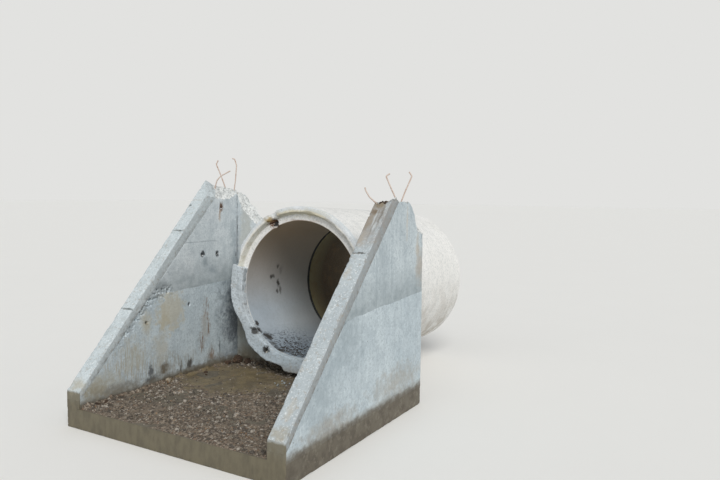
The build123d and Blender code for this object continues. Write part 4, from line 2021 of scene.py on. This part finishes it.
@dataclass
class RibbedBar:
    """A 12 mm ribbed reinforcing bar, bent where it leaves the concrete."""

    node: str
    bends: tuple[tuple[float, float, float], ...]
    finish: Material
    embedment: float = 0.100
    seat: float = 0.004
    core: float = 0.0054
    rib_height: float = 0.0007
    rib_pitch: float = 0.0075
    rib_width: float = 0.0030
    easing: float = 0.020
    easing_share: float = 0.45
    step: float = 0.0018
    sides: int = 14
    unevenness: float = 0.0003

    def corners(self) -> list[Vector]:
        """The points that the bar's centreline turns at, with its two ends.

        Returns:
            The end in the concrete, which is where the CAD bar ends, the foot and the bends.
        """
        points = [v.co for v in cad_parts[self.node].data.vertices]
        low = min(p.z for p in points)
        ring = [p for p in points if p.z < low + 1e-4]
        end = sum(ring, Vector()) / len(ring)
        foot = end + Vector((0, 0, self.embedment))
        return [end + Vector((0, 0, self.seat)), foot, *[foot + Vector(bend) for bend in self.bends]]

    def centreline(self) -> list[Vector]:
        """Points along the bar, a step apart.

        Returns:
            The points.
        """
        corners = self.corners()
        stations = [corners[0]]
        for before, corner, after in zip(corners, corners[1:], corners[2:]):
            for end in (before, after):
                reach = min(self.easing, self.easing_share * (end - corner).length)
                eased = corner + (end - corner).normalized() * reach
                stations += [eased, corner] if end is before else [eased]
        stations.append(corners[-1])
        curve = bpy.data.curves.new("bar_route", "CURVE")
        curve.dimensions = "3D"
        curve.resolution_u = 12
        spline = curve.splines.new("NURBS")
        spline.points.add(len(stations) - 1)
        for point, station in zip(spline.points, stations):
            point.co = (*station, 1.0)
        spline.order_u = 3
        spline.use_endpoint_u = True
        holder = bpy.data.objects.new("bar_route", curve)
        mesh = bpy.data.meshes.new_from_object(holder)
        raw = [v.co.copy() for v in mesh.vertices]
        bpy.data.objects.remove(holder)
        bpy.data.curves.remove(curve)
        bpy.data.meshes.remove(mesh)
        line = [raw[0]]
        for point in raw[1:]:
            while (point - line[-1]).length >= self.step:
                line.append(line[-1] + (point - line[-1]).normalized() * self.step)
        return line

    def ring_scale(self, run: float) -> float:
        """Radius of the bar at a distance along it.

        Args:
            run: The distance.

        Returns:
            The radius, greater on a rib.
        """
        phase = (run % self.rib_pitch) / self.rib_pitch
        rib = max(0.0, 1 - abs(phase - 0.5) * self.rib_pitch / (self.rib_width / 2))
        return self.core + self.rib_height * min(1.0, 1.6 * rib)

    def build(self) -> None:
        """Draws the ribbed bar along its centreline."""
        line = self.centreline()
        bm = bmesh.new()
        heading = (line[1] - line[0]).normalized()
        turn = Vector(UP).rotation_difference(heading)
        made = bmesh.ops.create_circle(bm, cap_ends=True, radius=1.0, segments=self.sides)
        ring = made["verts"]
        bmesh.ops.scale(bm, vec=(self.core,) * 3, verts=ring)
        bmesh.ops.rotate(bm, cent=(0, 0, 0), matrix=turn.to_matrix(), verts=ring)
        bmesh.ops.translate(bm, vec=line[0], verts=ring)
        edges = [e for e in bm.edges if all(v in ring for v in e.verts)]
        size = self.core
        for index in range(1, len(line)):
            ahead = line[min(index + 1, len(line) - 1)] - line[index - 1]
            bend = heading.rotation_difference(ahead.normalized())
            heading = ahead.normalized()
            drawn = bmesh.ops.extrude_edge_only(bm, edges=edges)
            ring = [g for g in drawn["geom"] if isinstance(g, bmesh.types.BMVert)]
            edges = [
                g
                for g in drawn["geom"]
                if isinstance(g, bmesh.types.BMEdge) and all(v in ring for v in g.verts)
            ]
            wanted = self.ring_scale(index * self.step)
            bmesh.ops.translate(bm, vec=line[index] - line[index - 1], verts=ring)
            about = Matrix.Translation(-line[index])
            bmesh.ops.scale(bm, vec=(wanted / size,) * 3, space=about, verts=ring)
            bmesh.ops.rotate(bm, cent=line[index], matrix=bend.to_matrix(), verts=ring)
            size = wanted
        bmesh.ops.contextual_create(bm, geom=edges)
        bmesh.ops.recalc_face_normals(bm, faces=bm.faces)
        for vert in bm.verts:
            waves = [noise.noise(vert.co * 160 + Vector((k, 0, 0))) for k in range(3)]
            vert.co += Vector([wave * self.unevenness for wave in waves])
        show(bm, f"ribbed_{self.node}", [self.finish], (self.node,), sharp_degrees=50.0)


@dataclass
class Studio:
    """The plain floor, the soft lights and the camera."""

    floor_finish: Material
    floor_size: float = 120.0
    sky: str = "#ecf0f3"
    sky_strength: float = 0.50
    key_strength: float = 2.2
    key_direction: Place = (0.52, -0.55, 0.66)
    key_softness: float = math.radians(32)
    key_colour: Place = (1.0, 0.985, 0.96)
    backdrop: str = "#e2e2e0"
    station: Place = (3.2924, -4.8295, 1.7682)
    yaw: float = -0.5252
    pitch: float = -0.0690
    roll: float = 0.0106
    lens: float = 32.5
    sensor: float = 36.0
    sight: float = 500.0

    def lay_floor(self) -> None:
        """Lays the floor under the slab."""
        bm = bmesh.new()
        bmesh.ops.create_grid(bm, x_segments=4, y_segments=4, size=self.floor_size)
        mesh = bpy.data.meshes.new("studio_floor")
        bm.to_mesh(mesh)
        bm.free()
        mesh.materials.append(self.floor_finish)
        floor = bpy.data.objects.new("studio_floor", mesh)
        bpy.context.scene.collection.objects.link(floor)

    def light(self) -> None:
        """Sets an even pale sky and one broad lamp above and to the right of the outlet."""
        world = bpy.data.worlds.new("studio_sky")
        bpy.context.scene.world = world
        world.use_nodes = True
        tree = world.node_tree
        tree.nodes.clear()
        path = add_node(tree, "LightPath")
        sky, seen = [
            add_node(tree, "Background", {"Color": linear(code), "Strength": strength}).outputs[0]
            for code, strength in ((self.sky, self.sky_strength), (self.backdrop, 1.0))
        ]
        rays = (path.outputs["Is Camera Ray"], path.outputs["Is Glossy Ray"])
        shown = add_node(tree, "Math", rays, operation="MAXIMUM").outputs[0]
        either = add_node(tree, "MixShader", (shown, sky, seen)).outputs[0]
        add_node(tree, "OutputWorld", (either,))
        lamp = bpy.data.lights.new("key_lamp", "SUN")
        lamp.energy = self.key_strength
        lamp.angle = self.key_softness
        lamp.color = self.key_colour
        key = bpy.data.objects.new("key_lamp", lamp)
        key.rotation_euler = Vector(self.key_direction).to_track_quat("Z", "Y").to_euler()
        bpy.context.scene.collection.objects.link(key)

    def set_camera(self) -> None:
        """Stands the camera where the photograph was taken from."""
        forward = Vector(
            (
                math.sin(self.yaw) * math.cos(self.pitch),
                math.cos(self.yaw) * math.cos(self.pitch),
                math.sin(self.pitch),
            )
        )
        level = Vector((math.cos(self.yaw), -math.sin(self.yaw), 0.0))
        upright = level.cross(forward)
        cos, sin = math.cos(self.roll), math.sin(self.roll)
        right = level * cos + upright * sin
        up = upright * cos - level * sin
        lens = bpy.data.cameras.new("photo_camera")
        lens.sensor_width = self.sensor
        lens.lens = self.lens
        lens.clip_end = self.sight
        camera = bpy.data.objects.new("photo_camera", lens)
        turned = Matrix((right, up, -forward)).transposed().to_4x4()
        camera.matrix_world = Matrix.Translation(self.station) @ turned
        bpy.context.scene.collection.objects.link(camera)
        bpy.context.scene.camera = camera

    def build(self) -> None:
        """Sets up the whole studio."""
        self.lay_floor()
        self.light()
        self.set_camera()
        bpy.context.scene.view_settings.view_transform = "Standard"


def on_face(x: float, *rows: tuple) -> tuple[Mark, ...]:
    """Marks on an upright face of a wing, stains and patches of painted shade alike.

    Args:
        x: Where the face lies.
        rows: The Y and Z of each mark, then its reach, colour, strength and core.

    Returns:
        The stains.
    """
    return tuple(Mark((x, *place), *rest) for place, *rest in rows)


RUST = "#8a6c52"
INNER = -WALL_FACE
OUTER = WALL_FACE + WALL_THICKNESS
LOWER_TIE_HOLES = (
    ((-0.642, 0.788), (0.05, 0.018, 0.020), "#474b4d", 0.9, 0.6),
    ((-1.124, 0.700), (0.05, 0.020, 0.024), "#4a4d4c", 0.9, 0.6),
)
UPPER_TIE_HOLES = (
    ((-0.467, 1.216), (0.05, 0.030, 0.036), "#3b3f42", 0.95, 0.6),
    ((-0.276, 1.212), (0.05, 0.027, 0.034), "#3b3f42", 0.95, 0.6),
)
LEFT_LOWER_STAINS_AND_SHADE = on_face(
    INNER,
    *LOWER_TIE_HOLES,
    ((-0.450, 0.560), (0.05, 0.060, 0.20), "#a39480", 0.4, 0.2),
    ((-0.355, 0.262), (0.05, 0.040, 0.06), RUST, 0.6, 0.2),
    ((-0.252, 0.323), (0.05, 0.016, 0.13), "#4d5154", 0.75, 0.2),
    ((-0.860, 0.760), (0.06, 0.190, 0.20), "#bdb59e", 0.6, 0.6),
    ((-0.930, 0.700), (0.06, 0.080, 0.15), "#b0a68a", 0.45, 0.4),
    ((-1.125, 0.690), (0.05, 0.070, 0.14), "#b5ad96", 0.6, 0.4),
    ((-0.967, 0.460), (0.06, 0.120, 0.18), "#b3ac98", 0.5, 0.3),
    ((-1.250, 0.450), (0.06, 0.150, 0.16), "#a9a694", 0.4, 0.2),
    ((-1.560, 0.300), (0.06, 0.240, 0.13), "#a9a18a", 0.6, 0.2),
    ((-1.660, 0.250), (0.06, 0.220, 0.12), "#8d846d", 0.8, 0.1),
    ((-1.450, 0.205), (0.06, 0.360, 0.07), "#857c6b", 0.6, 0.1),
    ((-1.085, 0.295), (0.05, 0.036, 0.06), "#54575a", 0.85, 0.5),
    ((-1.075, 0.215), (0.05, 0.080, 0.05), "#4b4d4d", 0.85, 0.5),
    ((-0.930, 0.250), (0.05, 0.170, 0.08), "#7a7262", 0.6, 0.2),
    ((-0.940, 0.270), (0.05, 0.055, 0.06), "#655b4b", 0.8, 0.4),
    ((-0.637, 0.250), (0.05, 0.044, 0.05), "#413b34", 0.9, 0.5),
    ((-0.746, 0.235), (0.05, 0.016, 0.06), "#4d4a44", 0.8, 0.5),
    ((-0.640, 0.168), (0.05, 0.520, 0.030), "#3f4345", 0.85, 0.6),
    ((-0.300, 0.220), (0.05, 0.200, 0.07), "#6a6355", 0.6, 0.2),
    ((-1.380, 0.230), (0.05, 0.250, 0.06), "#6c6556", 0.6, 0.2),
    # Painted shade on the face near the corner, where the pipe's rim shades it.
    ((-0.020, 0.560), (0.08, 0.300, 0.60), "#596068", 0.88, 0.2),
    ((-0.500, 0.180), (0.06, 0.700, 0.06), "#5a5346", 0.7, 0.5),
    ((-1.300, 0.700), (0.06, 0.080, 0.08), "#8b9192", 0.5, 0.3),
    ((-1.170, 0.830), (0.06, 0.080, 0.07), "#868c8e", 0.6, 0.3),
    ((-1.020, 0.900), (0.06, 0.100, 0.05), "#868c8e", 0.6, 0.3),
)
LEFT_TRICKLES = on_face(
    INNER,
    ((-0.428, 0.705), (0.05, 0.040, 0.14), "#775a40", 0.9, 0.5),
    ((-0.395, 0.530), (0.05, 0.028, 0.11), "#775a40", 0.9, 0.5),
    ((-0.492, 0.395), (0.05, 0.050, 0.11), "#7d6248", 0.9, 0.5),
    ((-0.365, 0.290), (0.05, 0.060, 0.09), "#6f5b45", 0.8, 0.5),
    ((-0.900, 0.290), (0.05, 0.500, 0.13), "#857a66", 0.6, 0.4),
    ((-1.300, 0.420), (0.05, 0.280, 0.20), "#a3977f", 0.6, 0.4),
)
LEFT_UPPER_STAINS_AND_SHADE = (
    *on_face(
        INNER,
        ((-0.225, 1.643), (0.05, 0.040, 0.070), "#5d4029", 0.95, 0.5),
        ((-0.240, 1.570), (0.05, 0.022, 0.085), "#a08468", 0.6),
        *UPPER_TIE_HOLES,
        ((-0.440, 1.140), (0.03, 0.040, 0.060), "#7f8a90", 0.6),
        ((-0.350, 1.070), (0.03, 0.070, 0.060), "#87929a", 0.55),
        # Painted shade on the upper face near the corner beside the pipe.
        ((-0.030, 1.250), (0.06, 0.110, 0.40), "#87929a", 0.6, 0.2),
        ((-0.980, 0.985), (0.06, 0.160, 0.06), "#80878a", 0.65, 0.3),
        ((-0.020, 1.180), (0.03, 0.016, 0.060), "#4e4f4e", 0.6),
    ),
    Mark((-0.770, 0.0, 1.340), (0.105, 0.05, 0.46), "#b4b5ae", 0.65, 0.5),
    *on_face(INNER, ((0.0, 1.400), (0.015, 0.015, 0.46), "#7d8386", 0.75, 0.2)),
)
BACK_WALL_STAINS = (
    Mark((-0.800, 0.0, 0.480), (0.110, 0.05, 0.40), "#87877f", 0.75, 0.3),
    Mark((-0.720, 0.0, 0.230), (0.200, 0.05, 0.10), "#77705f", 0.7, 0.3),
    Mark((0.760, 0.0, 0.330), (0.160, 0.05, 0.22), "#8a877c", 0.6, 0.2),
    Mark((0.500, 0.32, 0.400), (0.300, 0.08, 0.25), "#8d8473", 0.5, 0.2),
)
RIGHT_LOWER_STAINS = on_face(
    WALL_FACE,
    *LOWER_TIE_HOLES,
    ((-0.520, 0.560), (0.03, 0.016, 0.15), RUST, 0.5),
    ((-0.920, 0.620), (0.03, 0.120, 0.16), "#b3ab92", 0.6, 0.6),
    ((-1.550, 0.300), (0.04, 0.170, 0.10), "#aca38c", 0.6),
) + on_face(
    OUTER,
    ((-1.080, 0.800), (0.05, 0.300, 0.34), "#919da3", 0.6, 0.2),
    ((-1.420, 0.480), (0.05, 0.300, 0.30), "#919da3", 0.55, 0.2),
    ((-0.300, 0.300), (0.05, 0.500, 0.16), "#988d7c", 0.5, 0.2),
    ((-1.250, 0.240), (0.05, 0.420, 0.11), "#8d8170", 0.55, 0.2),
)
RIGHT_UPPER_STAINS = on_face(
    WALL_FACE,
    *UPPER_TIE_HOLES,
    ((-0.225, 1.620), (0.03, 0.025, 0.050), "#6f4c30", 0.8, 0.4),
) + on_face(
    OUTER,
    ((0.040, 1.360), (0.03, 0.050, 0.16), "#b49f80", 0.45),
    ((-0.160, 1.560), (0.03, 0.022, 0.22), "#cbbfae", 0.45),
    ((-0.560, 1.300), (0.05, 0.110, 0.22), "#98a3a9", 0.55, 0.2),
    ((0.100, 1.180), (0.05, 0.120, 0.20), "#a6927a", 0.5, 0.2),
)
LEFT_COPING_STAINS = (
    Mark((-0.950, -1.730, 0.300), (0.12, 0.060, 0.09), "#a9a18c", 0.6),
    Mark((-0.940, -1.267, 0.831), (0.09, 0.011, 0.012), "#5d625f", 0.8, 0.5),
    Mark((-0.945, -0.703, 1.441), (0.08, 0.009, 0.010), "#646866", 0.75, 0.5),
)
RIGHT_COPING_STAINS = (
    Mark((0.940, -0.480, 1.680), (0.130, 0.260, 0.30), "#918a82", 0.75, 0.2),
    Mark((0.900, -0.640, 1.510), (0.050, 0.200, 0.22), "#8d867b", 0.7, 0.2),
    Mark((0.950, -0.640, 1.510), (0.120, 0.180, 0.20), "#98938e", 0.6, 0.3),
    Mark((0.985, -0.520, 1.620), (0.016, 0.240, 0.24), "#6b645a", 0.7, 0.2),
    Mark((0.955, -0.600, 1.540), (0.010, 0.160, 0.17), "#736b60", 0.6, 0.2),
    Mark((0.930, -0.450, 1.700), (0.040, 0.050, 0.05), "#5f5446", 0.8, 0.3),
    Mark((0.910, -0.560, 1.595), (0.045, 0.140, 0.16), "#918575", 0.65),
    Mark((0.915, -0.700, 1.445), (0.055, 0.090, 0.10), "#aca498", 0.6),
    Mark((0.935, -0.460, 1.705), (0.060, 0.060, 0.06), "#8c7f69", 0.7),
    Mark((0.925, -0.520, 1.640), (0.050, 0.030, 0.03), "#6d5d49", 0.8, 0.3),
    Mark((0.972, -0.610, 1.540), (0.020, 0.060, 0.06), "#c6ccce", 0.65, 0.3),
    Mark((0.945, -0.560, 1.595), (0.012, 0.090, 0.10), "#c3cacd", 0.6, 0.3),
    Mark((0.958, -0.786, 1.352), (0.040, 0.012, 0.014), "#4a4a45", 0.85, 0.5),
    Mark((0.905, -0.790, 1.347), (0.030, 0.010, 0.012), "#6a655c", 0.7, 0.5),
    Mark((0.920, -0.900, 1.229), (0.030, 0.080, 0.09), "#b9b1a4", 0.45),
    Mark((0.960, -1.640, 0.425), (0.040, 0.090, 0.10), "#b5ab99", 0.45),
    Mark((0.950, -1.740, 0.320), (0.110, 0.050, 0.07), "#9d9480", 0.6),
)

BAR_BENDS = {
    "left_bar_front": ((0.016, 0.009, 0.066), (0.047, 0.027, 0.108), (0.125, 0.073, 0.158)),
    "left_bar_middle": ((-0.042, -0.024, 0.134), (-0.079, -0.045, 0.238), (-0.062, -0.036, 0.274)),
    "left_bar_rear": (
        (0.011, 0.007, 0.094),
        (0.022, 0.012, 0.245),
        (0.006, 0.003, 0.305),
        (-0.015, -0.009, 0.311),
    ),
    "right_bar_front": ((-0.056, -0.032, 0.058), (-0.081, -0.047, 0.107), (-0.086, -0.050, 0.131)),
    "right_bar_middle": ((-0.037, -0.022, 0.091), (-0.073, -0.042, 0.186), (-0.047, -0.027, 0.207)),
    "right_bar_rear": ((0.028, 0.016, 0.086), (0.071, 0.041, 0.203), (0.051, 0.030, 0.236)),
}


def build_cast_pieces() -> None:
    """Builds the slab, the back wall and the two wings with their finishes."""
    broken = BrokenConcrete().build()
    stone = CrushedStone().build()
    slab = CastConcrete(
        name="cast_concrete_slab", base="#756f63", pale="#878174", dark="#57524a", splash_top=0.30
    )
    # The back wall's tones are set darker than the wings' as painted shade from the pipe.
    wall = CastConcrete(
        name="cast_concrete_back_wall",
        base="#a1a7a5",
        pale="#b4bab8",
        dark="#868d8b",
        splash_top=0.25,
        stains=BACK_WALL_STAINS,
    )
    left_lower = LowerLiftConcrete(
        name="cast_concrete_left_wing", stains=LEFT_LOWER_STAINS_AND_SHADE, trickles=LEFT_TRICKLES
    )
    left_upper = UpperLiftConcrete(
        name="cast_concrete_left_head",
        base="#cfd7da",
        pale="#e2e7e9",
        mottling=0.35,
        stains=LEFT_UPPER_STAINS_AND_SHADE,
    )
    left_coping = TrowelledConcrete(
        name="trowelled_left_coping",
        edge="#c6ced1",
        edge_dark="#b0b8bb",
        dirt_and_seam_shade=0.5,
        stains=LEFT_COPING_STAINS,
    )
    right_lower = CastConcrete(name="cast_concrete_right_wing", stains=RIGHT_LOWER_STAINS)
    right_upper = OuterFaceConcrete(name="cast_concrete_right_head", stains=RIGHT_UPPER_STAINS)
    right_coping = TrowelledConcrete(
        name="trowelled_right_coping",
        top="#b2bbc0",
        pale="#c9d1d4",
        edge="#9ea2a4",
        edge_dark="#7f8386",
        dirt_and_seam_shade=0.6,
        stains=RIGHT_COPING_STAINS,
    )
    Footing(slab.build(), wall.build(), broken).build()
    for side, finishes in (
        (Side.LEFT, (left_lower, left_upper, left_coping)),
        (Side.RIGHT, (right_lower, right_upper, right_coping)),
    ):
        WingWall(side, *[finish.build() for finish in finishes], broken, stone).build()


def main() -> None:
    """Builds the headwall piece by piece and sets up the studio round it."""
    logging.basicConfig(level=logging.INFO, format="%(message)s")
    Studio(PlainFloor().build()).build()
    build_cast_pieces()
    mortar = RoughMortar().build()
    spun = SpunConcrete().build()
    OutletSection("pipe_front_section", spun).build()
    PipeSection("pipe_second_section", spun, start=1.025).build()
    JointMortar(mortar).build()
    RimMortar(mortar).build()
    Silt(DriedMud().build()).build()
    MudBed(SettledSilt().build(), WetGravel().build()).build()
    FallenEarth(ClayClods().build()).build()
    steel = RustedSteel().build()
    for node, bends in BAR_BENDS.items():
        RibbedBar(node, bends, steel).build()


if __name__ == "__main__":
    main()
